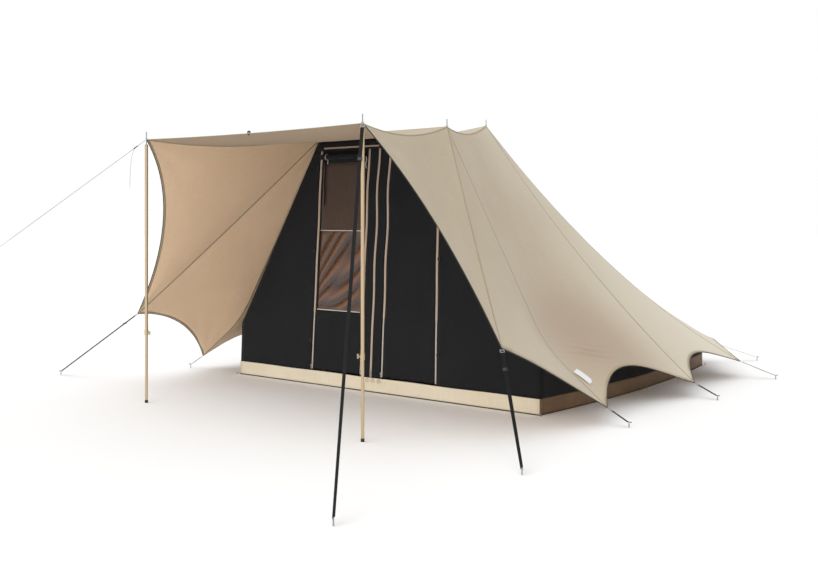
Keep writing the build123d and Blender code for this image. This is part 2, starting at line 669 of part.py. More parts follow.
pegs = [peg(PEGS[name], pull(name)) for name in PEGS]
SMALL_PEGS = [at(HALF_WIDTH + 22, -22, 0), at(HALF_WIDTH + SIDE_BOW + 24, DEPTH / 2, 0),
              at(HALF_WIDTH + 22, DEPTH + 24, 0)]
for place in SMALL_PEGS:
    for spot in (place, mirrored(place)):
        pegs.append(cylinder(spot, PEG_R, 22))
save("pegs", *pegs)
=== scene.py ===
# %% [markdown]
# # A cotton frame tent with an open canopy
#
# The real thing is a sand-coloured cotton fly that hangs over five poles like a bell roof, with a
# black inner tent under it and an open canopy in front. The CAD model already says where every pole,
# peg, ring and sheet is. Here each soft sheet is made again as thin cloth with seams and hems, and
# each hard part gets a finish.
#
# The frame comes first. Everything below is in its metres and its axes: +X to the right of someone
# who looks in at the doors, +Y from front to back, +Z up.

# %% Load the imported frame
import math

import bmesh
import bpy
from mathutils import Matrix, Vector


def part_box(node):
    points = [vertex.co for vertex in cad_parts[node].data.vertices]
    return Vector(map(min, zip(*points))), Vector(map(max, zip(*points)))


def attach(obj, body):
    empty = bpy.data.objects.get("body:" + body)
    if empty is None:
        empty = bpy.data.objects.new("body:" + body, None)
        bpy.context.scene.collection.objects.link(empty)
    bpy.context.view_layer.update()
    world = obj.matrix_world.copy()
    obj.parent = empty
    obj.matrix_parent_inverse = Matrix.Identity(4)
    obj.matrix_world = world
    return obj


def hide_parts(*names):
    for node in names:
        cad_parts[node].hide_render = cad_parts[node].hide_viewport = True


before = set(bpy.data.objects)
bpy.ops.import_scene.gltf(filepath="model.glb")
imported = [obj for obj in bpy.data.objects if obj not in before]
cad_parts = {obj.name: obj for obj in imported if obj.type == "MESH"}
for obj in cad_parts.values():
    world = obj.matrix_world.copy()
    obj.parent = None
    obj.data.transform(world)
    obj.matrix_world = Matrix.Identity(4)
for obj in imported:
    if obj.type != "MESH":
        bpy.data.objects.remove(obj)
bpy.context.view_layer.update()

MM = 0.001
UP = Vector((0, 0, 1))
bpy.ops.object.select_all(action="DESELECT")

# %% [markdown]
# ## Camera, floor and light
#
# The camera stands at the right front of the tent, 1.48 m up. It is level, so the poles stay upright
# in the picture, and a small downward shift brings the pegs into view. The picture is
# a bright studio one, so the view transform is the plain one, which leaves white as white.

# %% Camera
camera_data = bpy.data.cameras.new("camera")
camera_data.sensor_width = 36
camera_data.lens = 43.78
camera_data.shift_y = -0.0829
camera = bpy.data.objects.new("camera", camera_data)
camera.location = (5.382, -8.063, 1.480)
camera.rotation_euler = (math.radians(90), 0, math.radians(37.69))
bpy.context.scene.collection.objects.link(camera)
bpy.context.scene.camera = camera
bpy.context.scene.view_settings.view_transform = "Standard"
print("camera at", tuple(camera.location))


# %% [markdown]
# Every colour is an sRGB hex value, as a colour picker shows it, and one function turns it into the
# linear numbers that Blender works with. One more function adds a shader node: it takes the sockets
# to fill or link and the node's own settings.

# %% Colour and node helpers
def linear(hex_colour):
    """The linear numbers behind an sRGB hex colour."""
    channels = [int(hex_colour[i:i + 2], 16) / 255 for i in (1, 3, 5)]
    return [c / 12.92 if c <= 0.04045 else ((c + 0.055) / 1.055) ** 2.4 for c in channels] + [1]


def add_node(tree, kind, sockets=None, **settings):
    """Add a node with its settings, and fill each socket with a value or link it to an output."""
    node = tree.nodes.new(kind)
    for name, value in settings.items():
        setattr(node, name, value)
    for name, value in (sockets or {}).items():
        if isinstance(value, bpy.types.NodeSocket):
            tree.links.new(value, node.inputs[name])
        else:
            node.inputs[name].default_value = value
    return node


def new_finish(name, **sockets):
    """A material with a Principled shader whose sockets are set, as Sheen_Weight=0.2."""
    material = bpy.data.materials.new(name)
    material.use_nodes = True
    shader = material.node_tree.nodes["Principled BSDF"]
    for socket, value in sockets.items():
        shader.inputs[socket.replace("_", " ")].default_value = value
    return material, material.node_tree, shader


# %% Floor
FLOOR_SIZE = 120
bpy.ops.mesh.primitive_plane_add(size=FLOOR_SIZE)
floor = bpy.context.object
floor.name = "studio_floor"
material, tree, shader = new_finish("white_paper_floor", Roughness=0.95)
shader.inputs["Base Color"].default_value = linear("#F8F8F8")
floor.data.materials.append(material)

# %% Lights
# The room looks white and lights the scene only softly: most light comes from a broad softbox above.
world = bpy.data.worlds.new("soft_white_room")
world.use_nodes = True
nodes = world.node_tree
seen = add_node(nodes, "ShaderNodeLightPath").outputs["Is Camera Ray"]
ROOM_LIGHT = 0.80
level = add_node(nodes, "ShaderNodeMapRange", {"Value": seen, "To Min": ROOM_LIGHT, "To Max": 1.0})
nodes.links.new(level.outputs[0], nodes.nodes["Background"].inputs["Strength"])
nodes.nodes["Background"].inputs["Color"].default_value = linear("#FFFFFF")
bpy.context.scene.world = world


def soft_light(name, heading, strength, spread, colour):
    """A broad light from a heading, given as the way towards it, with soft-edged shadows."""
    data = bpy.data.lights.new(name, "SUN")
    data.energy = strength
    data.angle = math.radians(spread)
    data.color = linear(colour)[:3]
    light = bpy.data.objects.new(name, data)
    light.rotation_euler = Vector(heading).to_track_quat("Z", "Y").to_euler()
    bpy.context.scene.collection.objects.link(light)
    return light


soft_light("overhead_softbox", (-0.10, -0.38, 0.88), 0.98, 80, "#FFFFFF")
soft_light("front_fill", (0.12, -0.88, 0.28), 0.74, 80, "#FFFAF4")

# %% [markdown]
# ## Places that the frame gives
#
# A fly corner is the vertex of its CAD panel that lies furthest in some direction. A peak is where
# the middle of its pole meets the fly: the pole's box gives x and y, and the spike's tip, which
# stands a known way out of the fly, gives the height.

# %% Corners and peaks
def furthest(node, *direction):
    """The vertex of a CAD node that lies furthest in a direction."""
    way = Vector(direction)
    return max((vertex.co.copy() for vertex in bpy.data.objects[node].data.vertices), key=way.dot)


def peak_at(x, y):
    """The fly's height round the spike that stands at x and y."""
    near = [vertex.co.z for vertex in bpy.data.objects["pole_spikes"].data.vertices
            if abs(vertex.co.x - x) < SPIKE_NEAR and abs(vertex.co.y - y) < SPIKE_NEAR]
    return Vector((x, y, max(near) - SPIKE_OUT))


TUBE_R = 12.5 * MM
SPIKE_OUT = 62 * MM
SPIKE_NEAR = 20 * MM
pole_low, pole_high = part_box("canopy_pole_right_upper")
upright_low, upright_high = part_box("upright_upper_tubes")
CANOPY_PEAK = peak_at((pole_low[0] + pole_high[0]) / 2, (pole_low[1] + pole_high[1]) / 2)
RIDGE_PEAK = peak_at(upright_high[0] - TUBE_R, upright_low[1] + TUBE_R)
REAR_PEAK = peak_at(0, upright_high[1] - TUBE_R)
WING = furthest("fly_wing_right", 0.5, -1, -0.5)
FRONT_CORNER = furthest("fly_wing_right", 1, 0, -0.5)
SIDE_CORNER = furthest("fly_side_right", 1, 0, -0.5)
BACK_CORNER = furthest("fly_side_right", 1, 0.3, -0.5)
REAR_CORNER = furthest("fly_side_right", 0.3, 1, -0.5)
REAR_MIDDLE = furthest("fly_rear", 0, 1, -0.5)
EAVE_FRONT = furthest("inner_roof_right", 1, -1, -0.3)
OVER_EAVE = EAVE_FRONT + Vector((35, 8, 25)) * MM
for label, point in (("canopy peak", CANOPY_PEAK), ("ridge peak", RIDGE_PEAK), ("rear peak", REAR_PEAK),
                     ("wing", WING), ("front corner", FRONT_CORNER), ("side corner", SIDE_CORNER)):
    print(label, tuple(round(c, 3) for c in point))


def flip(point):
    """The same point on the tent's left."""
    return Vector((-point.x, point.y, point.z))


# %% [markdown]
# ## Finishes for cloth
#
# The fly is plain-woven cotton canvas: matt, a little fuzzy, with uneven yarns that show as fine
# streaks along and across. Each cloth carries a UV map in metres, so the weave follows its panel. A
# real thread is under a millimetre and would vanish in the render, so the weave is drawn coarser,
# and the streaks carry the look of the yarn.

# %% Woven cloth
def woven(name, light, dark, thread, relief, rough=0.92, fuzz=0.15, uneven=1.0):
    """Woven cloth: threads along and across the UV map, slubs, and a slow drift of the dye."""
    material, tree, shader = new_finish(name, Roughness=rough, Sheen_Weight=fuzz)
    shader.inputs["Specular IOR Level"].default_value = 0.2
    place = add_node(tree, "ShaderNodeUVMap", uv_map="UVMap").outputs["UV"]
    waves = []
    for direction in ("X", "Y"):
        # A wave texture of scale 1 repeats every 0.314 m.
        wave = add_node(tree, "ShaderNodeTexWave", {"Vector": place, "Scale": 0.314 / thread},
                        bands_direction=direction)
        waves.append(wave.outputs["Fac"])
    weave = add_node(tree, "ShaderNodeMath", {0: waves[0], 1: waves[1]}, operation="MAXIMUM")
    shades = []
    for stretch in ((160, 7, 1), (7, 160, 1), (2.1, 1.7, 1)):
        yarn = add_node(tree, "ShaderNodeMapping", {"Vector": place, "Scale": stretch})
        noise = add_node(tree, "ShaderNodeTexNoise", {"Vector": yarn.outputs[0], "Scale": 1, "Detail": 3})
        shades.append(noise.outputs["Fac"])
    slubs = add_node(tree, "ShaderNodeMath", {0: shades[0], 1: shades[1]}, operation="ADD")
    drift = add_node(tree, "ShaderNodeMath", {0: slubs.outputs[0], 1: shades[2]}, operation="ADD")
    tone = add_node(tree, "ShaderNodeMapRange", {"Value": drift.outputs[0], "From Min": 1.5 - 0.5 * uneven,
                                                 "From Max": 1.5 + 0.5 * uneven})
    colour = add_node(tree, "ShaderNodeMix", {0: tone.outputs[0], 6: linear(dark), 7: linear(light)},
                      data_type="RGBA")
    height = add_node(tree, "ShaderNodeMath", {0: weave.outputs[0], 1: slubs.outputs[0]}, operation="ADD")
    bump = add_node(tree, "ShaderNodeBump", {"Height": height.outputs[0], "Distance": relief})
    tree.links.new(colour.outputs[2], shader.inputs["Base Color"])
    tree.links.new(bump.outputs[0], shader.inputs["Normal"])
    return material


COARSE = 9 * MM          # the weave as drawn, coarser than real thread
RELIEF = 0.3 * MM
COATED = {"rough": 0.6, "fuzz": 0.0}
fly_outside = woven("sand_cotton_canvas", "#B9AC95", "#AB9D86", COARSE, RELIEF)
# The fly's inside is a lighter copy of the same canvas: painted light, for light shining through the cotton.
fly_inside_painted_light = woven("sand_canvas_inside_painted_light", "#EACDAD", "#DDBF9E", COARSE, RELIEF)
# The canopy's underside is a darker copy of the same canvas: painted shade.
canopy_underside_painted_shade = woven("sand_canvas_under_canopy_painted_shade", "#AC967C", "#A0896F", COARSE, RELIEF)
fly_seam = woven("felled_canvas_seam", "#B3A58C", "#9C8D72", 3 * MM, 0.6 * MM)
hem_tape = woven("dark_hem_binding", "#4A443C", "#35302A", 3 * MM, 0.4 * MM)
black_canvas = woven("black_cotton_canvas", "#232427", "#1B1C1F", COARSE, RELIEF, fuzz=0.05)
upstand_cloth = woven("cream_groundsheet_upstand", "#F2E9D5", "#E4D7BC", 5 * MM, RELIEF, **COATED)
# The upstand's sides take a darker brown copy of its cloth: painted shade, for the shade under the fly.
side_upstand_painted_shade = woven("upstand_sides_painted_shade", "#8A6B50", "#5E5340", 5 * MM, RELIEF, **COATED)
floor_cloth = woven("beige_groundsheet_floor", "#B8A37E", "#A38E69", 5 * MM, RELIEF, **COATED)
zip_tape = woven("cream_zip_tape", "#CDB8A4", "#B49E8B", 2 * MM, RELIEF)
zip_tape_low = woven("pale_grey_zip_tape", "#E4E1DC", "#C6C2BC", 2 * MM, RELIEF)
webbing_cloth = woven("black_polyester_webbing", "#19191A", "#0B0B0C", 2.5 * MM, 0.6 * MM,
                      rough=0.7, fuzz=0.0)
cord_cloth = woven("grey_braided_cord", "#B9B7B4", "#8D8B88", 2 * MM, 0.5 * MM, rough=0.7)
label_cloth = woven("white_satin_label", "#ECEBEA", "#DAD9DA", 2 * MM, 0.1 * MM, rough=0.45)
window_net = woven("brown_insect_net", "#5A483D", "#453830", 4 * MM, 0.5 * MM, rough=0.7)
print(len(bpy.data.materials), "finishes so far")

# %% [markdown]
# The outside of the fly is painted paler towards its back and its foot, which is painted light,
# and browner in a soft round zone low on each side, beside the eave, which is painted shade. Two
# mixes lay that over the weave.

# %% Painted light and shade on the canvas
tree = fly_outside.node_tree
shader = tree.nodes["Principled BSDF"]
woven_colour = shader.inputs["Base Color"].links[0].from_socket
place = add_node(tree, "ShaderNodeTexCoord").outputs["Object"]
axes = add_node(tree, "ShaderNodeSeparateXYZ", {0: place})
# Painted light: the canvas is painted paler towards the back and towards the foot.
backward = add_node(tree, "ShaderNodeMapRange", {"Value": axes.outputs["Y"],
                                                 "From Min": -0.7, "From Max": 1.6})
low_down = add_node(tree, "ShaderNodeMapRange", {"Value": axes.outputs["Z"], "From Min": 1.5, "From Max": 0.1,
                                                 "To Max": 0.35})
painted_light_mask = add_node(tree, "ShaderNodeMath", {0: backward.outputs[0], 1: low_down.outputs[0]}, operation="ADD",
                use_clamp=True)
painted_light_mix = add_node(tree, "ShaderNodeMix", {0: painted_light_mask.outputs[0], 6: woven_colour, 7: linear("#D2CAB9")},
                data_type="RGBA")

# The middle of the zone of painted shade, for the right side. The absolute x gives the left side the same.
PAINTED_SHADE_ZONE = (1.75, -0.95, 0.55)
either_side = add_node(tree, "ShaderNodeMath", {0: axes.outputs["X"]}, operation="ABSOLUTE")
folded_over = add_node(tree, "ShaderNodeCombineXYZ", {"X": either_side.outputs[0], "Y": axes.outputs["Y"],
                                                      "Z": axes.outputs["Z"]})
away = add_node(tree, "ShaderNodeVectorMath", {0: folded_over.outputs[0], 1: PAINTED_SHADE_ZONE},
                operation="DISTANCE")
painted_shade_mask = add_node(tree, "ShaderNodeMapRange", {"Value": away.outputs["Value"], "From Min": 1.0,
                                                "From Max": 0.1, "To Max": 0.75},
                   interpolation_type="SMOOTHSTEP")
# Painted shade: a browner colour is mixed in round that zone.
painted_shade_mix = add_node(tree, "ShaderNodeMix", {0: painted_shade_mask.outputs[0], 6: painted_light_mix.outputs[2], 7: linear("#A38F7C")},
                 data_type="RGBA")
tree.links.new(painted_shade_mix.outputs[2], shader.inputs["Base Color"])


# %% [markdown]
# ## Building a sheet
#
# A sheet of canvas that hangs between fixed edges takes a shape that its four borders decide. A
# Coons patch gives just that: it blends the two pairs of opposite borders. The blend from top to
# bottom goes with the square of the way down, because the hollow cut of a hem fades out quickly
# above it in stretched cloth. Panels are sampled on a grid, welded into one mesh, and given their
# thickness by a Solidify modifier.

# %% Border curves and patches
def straight(start, end, bow=Vector()):
    """A curve from start to end as a function of t from 0 to 1, its middle pushed by bow."""
    return lambda t: start.lerp(end, t) + bow * (4 * t * (1 - t))


def bent(start, corner, end, share, soft):
    """Two straight runs that meet at corner, a share of the way down, with a soft bend there."""
    before = start.lerp(corner, (share - soft) / share)
    after = corner.lerp(end, soft / (1 - share))

    def at(t):
        if t <= share - soft:
            return start.lerp(corner, t / share)
        if t >= share + soft:
            return corner.lerp(end, (t - share) / (1 - share))
        turn = (t - share + soft) / (2 * soft)
        return before.lerp(corner, turn).lerp(corner.lerp(after, turn), turn)
    return at


def still(point):
    """A curve that is one point, for a panel that runs to a tip."""
    return lambda t: point


def hollow(start, end, apex, depth, skew=0.0):
    """A hem cut in a curve: start-end moves towards apex by depth, most before its middle if skewed."""
    way = (apex - start.lerp(end, 0.5)).normalized() * depth

    def at(t):
        even, early = 4 * t * (1 - t), 6.75 * t * (1 - t) ** 2
        return start.lerp(end, t) + way * (even + (early - even) * skew)
    return at


def patch(top, bottom, left, right):
    """The surface that four border curves bound, as a function of u across and v down."""
    def at(u, v):
        fall = v * v
        ruled = top(u).lerp(bottom(u), fall) + left(v).lerp(right(v), u)
        corners = top(0).lerp(top(1), u).lerp(bottom(0).lerp(bottom(1), u), fall)
        return ruled - corners
    return at


def mirrored(surface):
    """The same surface on the tent's left."""
    return lambda u, v: flip(surface(u, v))


# %% Sampling and welding
def cloth(name, parts, finish, facing=(0, 0, 1)):
    """One mesh over parts, each (surface, cells across, cells down, material slot if not the first).

    Its UV map is in metres, across and down each part.
    """
    grid = bmesh.new()
    uv_layer = grid.loops.layers.uv.new("UVMap")
    for surface, across, down, *slot in parts:
        rows = [[grid.verts.new(surface(i / across, j / down)) for i in range(across + 1)]
                for j in range(down + 1)]
        middle = [row[across // 2].co for row in rows]
        drop = 0
        for j in range(down):
            step = (middle[j + 1] - middle[j]).length
            for i in range(across):
                face = grid.faces.new((rows[j][i], rows[j][i + 1], rows[j + 1][i + 1], rows[j + 1][i]))
                face.material_index = slot[0] if slot else 0
                spots = ((i, j, 0), (i + 1, j, 0), (i + 1, j + 1, step), (i, j + 1, step))
                for loop, (column, row, fall) in zip(face.loops, spots):
                    width = (rows[row][-1].co - rows[row][0].co).length
                    loop[uv_layer].uv = ((column / across - 0.5) * width, drop + fall)
            drop += step
    bmesh.ops.remove_doubles(grid, verts=grid.verts, dist=0.3 * MM)
    bmesh.ops.dissolve_degenerate(grid, edges=grid.edges, dist=0.05 * MM)
    bmesh.ops.recalc_face_normals(grid, faces=grid.faces)
    lean = sum((face.normal * face.calc_area() for face in grid.faces), Vector())
    if lean.dot(Vector(facing)) < 0:
        bmesh.ops.reverse_faces(grid, faces=grid.faces)
    mesh = bpy.data.meshes.new(name)
    grid.to_mesh(mesh)
    grid.free()
    mesh.shade_smooth()
    return new_piece(name, mesh, finish)


def new_piece(name, mesh, finish):
    """An object in the scene over a mesh, in one finish."""
    piece = bpy.data.objects.new(name, mesh)
    bpy.context.scene.collection.objects.link(piece)
    mesh.materials.append(finish)
    return piece


def apply_modifiers(piece):
    """Apply every modifier on a piece."""
    bpy.context.view_layer.objects.active = piece
    for modifier in list(piece.modifiers):
        bpy.ops.object.modifier_apply(modifier=modifier.name)


def thicken(piece, thickness, turned=False):
    """Give a sheet its thickness, half to each side. If turned, its inside takes the next material."""
    solid = piece.modifiers.new("thickness", "SOLIDIFY")
    solid.thickness = thickness
    solid.offset = 0
    solid.material_offset = int(turned)
    apply_modifiers(piece)
    piece.data.shade_smooth()


def keep(piece, body, finish_slot, *nodes):
    """Tie a piece to its body and hide the CAD nodes that it stands for. finish_slot is not used."""
    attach(piece, body)
    if nodes:
        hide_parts(*nodes)
    print(piece.name, "rides on", body, "with", len(piece.data.polygons), "faces")
    return piece


# %% [markdown]
# ## Guy straps and cord
#
# Flat black polyester webbing runs from a ring at each corner of the fly to its peg, pulled straight.
# Its width faces the sky. A strap is a thin closed band along its line, with rounded selvedges. The
# far canopy pole is held by a thin grey cord instead, and the loose end of its webbing lead hangs
# down beside the pole along a smooth spline.

# %% Pegs and corners, by name
PEG_HEAD = 34 * MM
PEG_PLACES = {
    "canopy_right": (2.181, -4.512), "canopy_left": (-2.690, -5.210),
    "wing_right": (2.404, -3.148), "wing_left": (-2.903, -2.677),
    "front_right": (2.328, -1.578), "front_left": (-2.290, -1.640),
    "side_right": (2.438, -0.173), "side_left": (-2.438, -0.173),
    "back_right": (2.479, 1.168), "back_left": (-2.479, 1.168),
    "rear_right": (1.946, 2.262), "rear_left": (-1.946, 2.262), "rear_middle": (0, 2.410),
}
corners = {"canopy_right": CANOPY_PEAK, "wing_right": WING, "front_right": FRONT_CORNER,
           "side_right": SIDE_CORNER, "back_right": BACK_CORNER, "rear_right": REAR_CORNER}
corners.update({name.replace("right", "left"): flip(point) for name, point in list(corners.items())})
corners["rear_middle"] = REAR_MIDDLE


def pull(name):
    """Unit vector from a corner to the head of its peg."""
    return (Vector((*PEG_PLACES[name], PEG_HEAD)) - corners[name]).normalized()


# %% Webbing and cord builders
STRAP_SECTION = ((-12.5, 0.5), (-11.8, 0.8), (11.8, 0.8), (12.5, 0.5),
                 (12.5, -0.5), (11.8, -0.8), (-11.8, -0.8), (-12.5, -0.5))


def band(name, line, finish, scale=1.0, upright=UP, twist=(0, 0)):
    """A flat closed band of webbing along a line of points, its width across upright.

    Twist is how far the band is turned about its line at the start and at the end, in degrees.
    """
    shape = bmesh.new()
    uv_layer = shape.loops.layers.uv.new("UVMap")
    rings, reach = [], [0]
    for k, point in enumerate(line):
        along = (line[min(k + 1, len(line) - 1)] - line[max(k - 1, 0)]).normalized()
        across = along.cross(upright).normalized()
        raised = across.cross(along)
        share = k / (len(line) - 1)
        turn = Matrix.Rotation(math.radians(twist[0] + (twist[1] - twist[0]) * share), 3, along)
        across, raised = turn @ across, turn @ raised
        rings.append([shape.verts.new(point + (across * x * scale + raised * y) * MM)
                      for x, y in STRAP_SECTION])
        if k:
            reach.append(reach[-1] + (point - line[k - 1]).length)
    count = len(STRAP_SECTION)
    for k in range(len(line) - 1):
        for i in range(count):
            j = (i + 1) % count
            face = shape.faces.new((rings[k][i], rings[k][j], rings[k + 1][j], rings[k + 1][i]))
            for loop, (corner, row) in zip(face.loops, ((i, k), (j, k), (j, k + 1), (i, k + 1))):
                loop[uv_layer].uv = (STRAP_SECTION[corner][0] * MM, reach[row])
    shape.faces.new(rings[0])
    shape.faces.new(reversed(rings[-1]))
    bmesh.ops.recalc_face_normals(shape, faces=shape.faces)
    mesh = bpy.data.meshes.new(name)
    shape.to_mesh(mesh)
    shape.free()
    mesh.shade_smooth()
    return new_piece(name, mesh, finish)


def smooth_line(points):
    """The points of a smooth NURBS line whose control points are given."""
    curve = bpy.data.curves.new("route", "CURVE")
    curve.dimensions = "3D"
    spline = curve.splines.new("NURBS")
    spline.points.add(len(points) - 1)
    for control, point in zip(spline.points, points):
        control.co = (*point, 1)
    spline.order_u = 3
    spline.use_endpoint_u = True
    spline.resolution_u = 8
    holder = bpy.data.objects.new("route", curve)
    mesh = bpy.data.meshes.new_from_object(holder)
    line = [vertex.co.copy() for vertex in mesh.vertices]
    bpy.data.objects.remove(holder)
    return line


# %% Straps
STRAP_OUT = 40 * MM      # from a corner to the start of its strap
PEG_CLEAR = 7 * MM
STRAP_NODES = {"canopy_right": "canopy_strap_right", "wing_right": "wing_strap_right",
               "wing_left": "wing_strap_left"}
TWISTS = {"canopy_right": (10, 50), "wing_right": (20, 60)}
for name in corners:
    if name == "canopy_left":
        continue
    way = pull(name)
    start = corners[name] + way * STRAP_OUT
    end = Vector((*PEG_PLACES[name], PEG_HEAD)) - way * PEG_CLEAR
    cells = max(2, round((end - start).length / 0.06))
    strap = band("guy_strap_" + name, [start.lerp(end, k / cells) for k in range(cells + 1)], webbing_cloth,
                 twist=TWISTS.get(name, (0, 0)))
    keep(strap, "tent", "black_webbing", STRAP_NODES.get(name, "short_straps"))

# %% Cord of the far canopy pole
TENSIONER_AT = 105 * MM
way = pull("canopy_left")
tensioner_middle = corners["canopy_left"] + way * TENSIONER_AT
cord_start = tensioner_middle + way * 22 * MM
cord_end = Vector((*PEG_PLACES["canopy_left"], PEG_HEAD)) - way * PEG_CLEAR
CORD_D = 4 * MM
cord_curve = bpy.data.curves.new("guy_cord_canopy_left", "CURVE")
cord_curve.dimensions = "3D"
run = cord_curve.splines.new("POLY")
run.points.add(1)
run.points[0].co = (*cord_start, 1)
run.points[1].co = (*cord_end, 1)
cord_curve.bevel_depth = CORD_D / 2
cord_curve.bevel_resolution = 3
cord_curve.use_fill_caps = True
guy_cord = bpy.data.objects.new("guy_cord_canopy_left", cord_curve)
bpy.context.scene.collection.objects.link(guy_cord)
guy_cord.data.materials.append(cord_cloth)
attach(guy_cord, "tent")
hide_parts("canopy_cord_left")

lead_start = corners["canopy_left"] + way * STRAP_OUT
lead_end = tensioner_middle - way * 22 * MM
lead = band("cord_lead_canopy_left", [lead_start.lerp(lead_end, k / 3) for k in range(4)], webbing_cloth)
keep(lead, "tent", "black_webbing", "canopy_lead_left")

# The tail's route: how far out from the tensioner along the cord's heading, then how far down.
TAIL_ROUTE = ((10, -14), (32, -70), (38, -150), (42, -235), (46, -318))
heading = Vector((way.x, way.y, 0)).normalized()
tail_points = [tensioner_middle + heading * out * MM + UP * rise * MM for out, rise in TAIL_ROUTE]
tail_line = smooth_line(tail_points)
tail = band("cord_tail_canopy_left", tail_line, webbing_cloth, upright=heading)
keep(tail, "tent", "black_webbing", "canopy_cord_tail")


# %% [markdown]
# ## The fly
#
# One continuous sheet with a seam wherever two panels meet. From each peak a seam runs down to a
# pegged corner. The ridges and the steep seams hang in shallow curves, and every hem between two
# corners is cut hollow, which keeps its edge tight. Near the corners the pull of the straps draws the
# cloth into soft radiating folds.

# %% Seam and hem curves
DROP = Vector((0, 0, -1))
ridge_front = straight(CANOPY_PEAK, RIDGE_PEAK, DROP * 0.072)
ridge_back = straight(RIDGE_PEAK, REAR_PEAK, DROP * 0.068)
wing_seam = straight(RIDGE_PEAK, WING, DROP * 0.015)
front_seam = bent(RIDGE_PEAK, OVER_EAVE, FRONT_CORNER, 0.75, 0.09)
side_seam = straight(REAR_PEAK, SIDE_CORNER, DROP * 0.130)
back_seam = straight(REAR_PEAK, BACK_CORNER, DROP * 0.225)
rear_seam = straight(REAR_PEAK, REAR_CORNER, DROP * 0.225)
middle_seam = straight(REAR_PEAK, REAR_MIDDLE, DROP * 0.150)
free_edge = hollow(CANOPY_PEAK, WING, RIDGE_PEAK, 0.200)
front_edges = {"right": hollow(WING, FRONT_CORNER, RIDGE_PEAK, 0.025, 1),
               "left": hollow(WING, FRONT_CORNER, RIDGE_PEAK, 0.150)}
side_edge = hollow(FRONT_CORNER, SIDE_CORNER, RIDGE_PEAK.lerp(REAR_PEAK, 0.5), 0.290, 0.5)
back_edge = hollow(SIDE_CORNER, BACK_CORNER, REAR_PEAK, 0.240, 0.5)
corner_edge = hollow(BACK_CORNER, REAR_CORNER, REAR_PEAK, 0.170)
rear_edge = hollow(REAR_CORNER, REAR_MIDDLE, REAR_PEAK, 0.200)
front_hem = straight(flip(CANOPY_PEAK), CANOPY_PEAK, DROP * 0.012)
spread_line = straight(flip(RIDGE_PEAK), RIDGE_PEAK, DROP * 0.004)
print("ridge", round((REAR_PEAK - CANOPY_PEAK).length, 2), "m long")

# %% Folds where the straps pull
# Each: the corner, a point that the folds run towards, how many, how high, how far they reach.
PULLS = [
    (WING, RIDGE_PEAK.lerp(CANOPY_PEAK, 0.5), 15, 5 * MM, 0.45),
    (FRONT_CORNER, RIDGE_PEAK, 17, 5 * MM, 0.40),
    (SIDE_CORNER, REAR_PEAK, 15, 5 * MM, 0.40),
    (BACK_CORNER, REAR_PEAK, 15, 5 * MM, 0.40),
    (REAR_CORNER, REAR_PEAK, 15, 5 * MM, 0.40),
    (REAR_MIDDLE, REAR_PEAK, 13, 4 * MM, 0.40),
    (CANOPY_PEAK, RIDGE_PEAK.lerp(WING, 0.5), 13, 4 * MM, 0.50),
    (RIDGE_PEAK, SIDE_CORNER, 19, 3 * MM, 0.45),
    (REAR_PEAK, BACK_CORNER, 19, 3 * MM, 0.45),
]


def folds(point, normal):
    """How far the cloth stands out of its patch at a point on the right-hand half."""
    rise = 0
    for corner, towards, count, height, reach in PULLS:
        gap = point - corner
        distance = gap.length
        if distance > 3 * reach or distance < 1e-4:
            continue
        axis = (towards - corner).normalized()
        angle = math.atan2(gap.cross(axis).dot(normal), gap.dot(axis))
        ramp = min(distance / (0.3 * reach), 1)
        rise += height * ramp * math.exp(-distance / reach) * math.cos(count * angle + count)
    return rise


def folded(surface):
    """The surface with its folds, which fade out towards the seams beside it."""
    step = 0.01

    def at(u, v):
        point = surface(u, v)
        across = surface(min(u + step, 1), v) - surface(max(u - step, 0), v)
        downward = surface(u, min(v + step, 1)) - surface(u, max(v - step, 0))
        normal = downward.cross(across)
        if normal.length < 1e-9:
            return point
        normal.normalize()
        if normal.z < 0:
            normal.negate()
        fade = min(u / 0.1, (1 - u) / 0.1, v / 0.06, 1)
        return point + normal * (folds(point, normal) * fade * fade * (3 - 2 * fade))
    return at


def hung_in(surface, depth, peak):
    """The surface hung a little inwards: steeply behind its first seam, then easing out to the next."""
    def at(u, v):
        point = surface(u, v)
        inward = Vector((-point.x, 0, 0)).normalized() * 0.8 - UP * 0.6
        swell = (u / peak) * math.exp(1 - u / peak) * (1 - u)
        return point + inward * (depth * swell * math.sin(math.pi * v) ** 0.7)
    return at


# %% Panels
def side_panels(front_edge):
    """The panels of one side, as surfaces on the tent's right."""
    surfaces = {
        "wing": patch(ridge_front, still(WING), free_edge, wing_seam),
        "front": patch(still(RIDGE_PEAK), front_edge, wing_seam, front_seam),
        "side": hung_in(patch(ridge_back, side_edge, front_seam, side_seam), 38 * MM, 0.3),
        "back": hung_in(patch(still(REAR_PEAK), back_edge, side_seam, back_seam), 15 * MM, 0.35),
        "corner": patch(still(REAR_PEAK), corner_edge, back_seam, rear_seam),
        "rear": patch(still(REAR_PEAK), rear_edge, rear_seam, middle_seam),
    }
    return {name: folded(surface) for name, surface in surfaces.items()}


panels = side_panels(front_edges["right"])
left_panels = {name: mirrored(surface) for name, surface in side_panels(front_edges["left"]).items()}
canopy = patch(front_hem, spread_line, lambda t: flip(ridge_front(t)), ridge_front)
top = patch(spread_line, still(REAR_PEAK), lambda t: flip(ridge_back(t)), ridge_back)
CELLS = 46
CANOPY_SLOT = 2
fly_parts = [(canopy, CELLS, CELLS, CANOPY_SLOT), (top, CELLS, CELLS)]
fly_parts += [(surface, CELLS, CELLS) for side in (panels, left_panels) for surface in side.values()]
fly = cloth("canvas_fly", fly_parts, fly_outside)

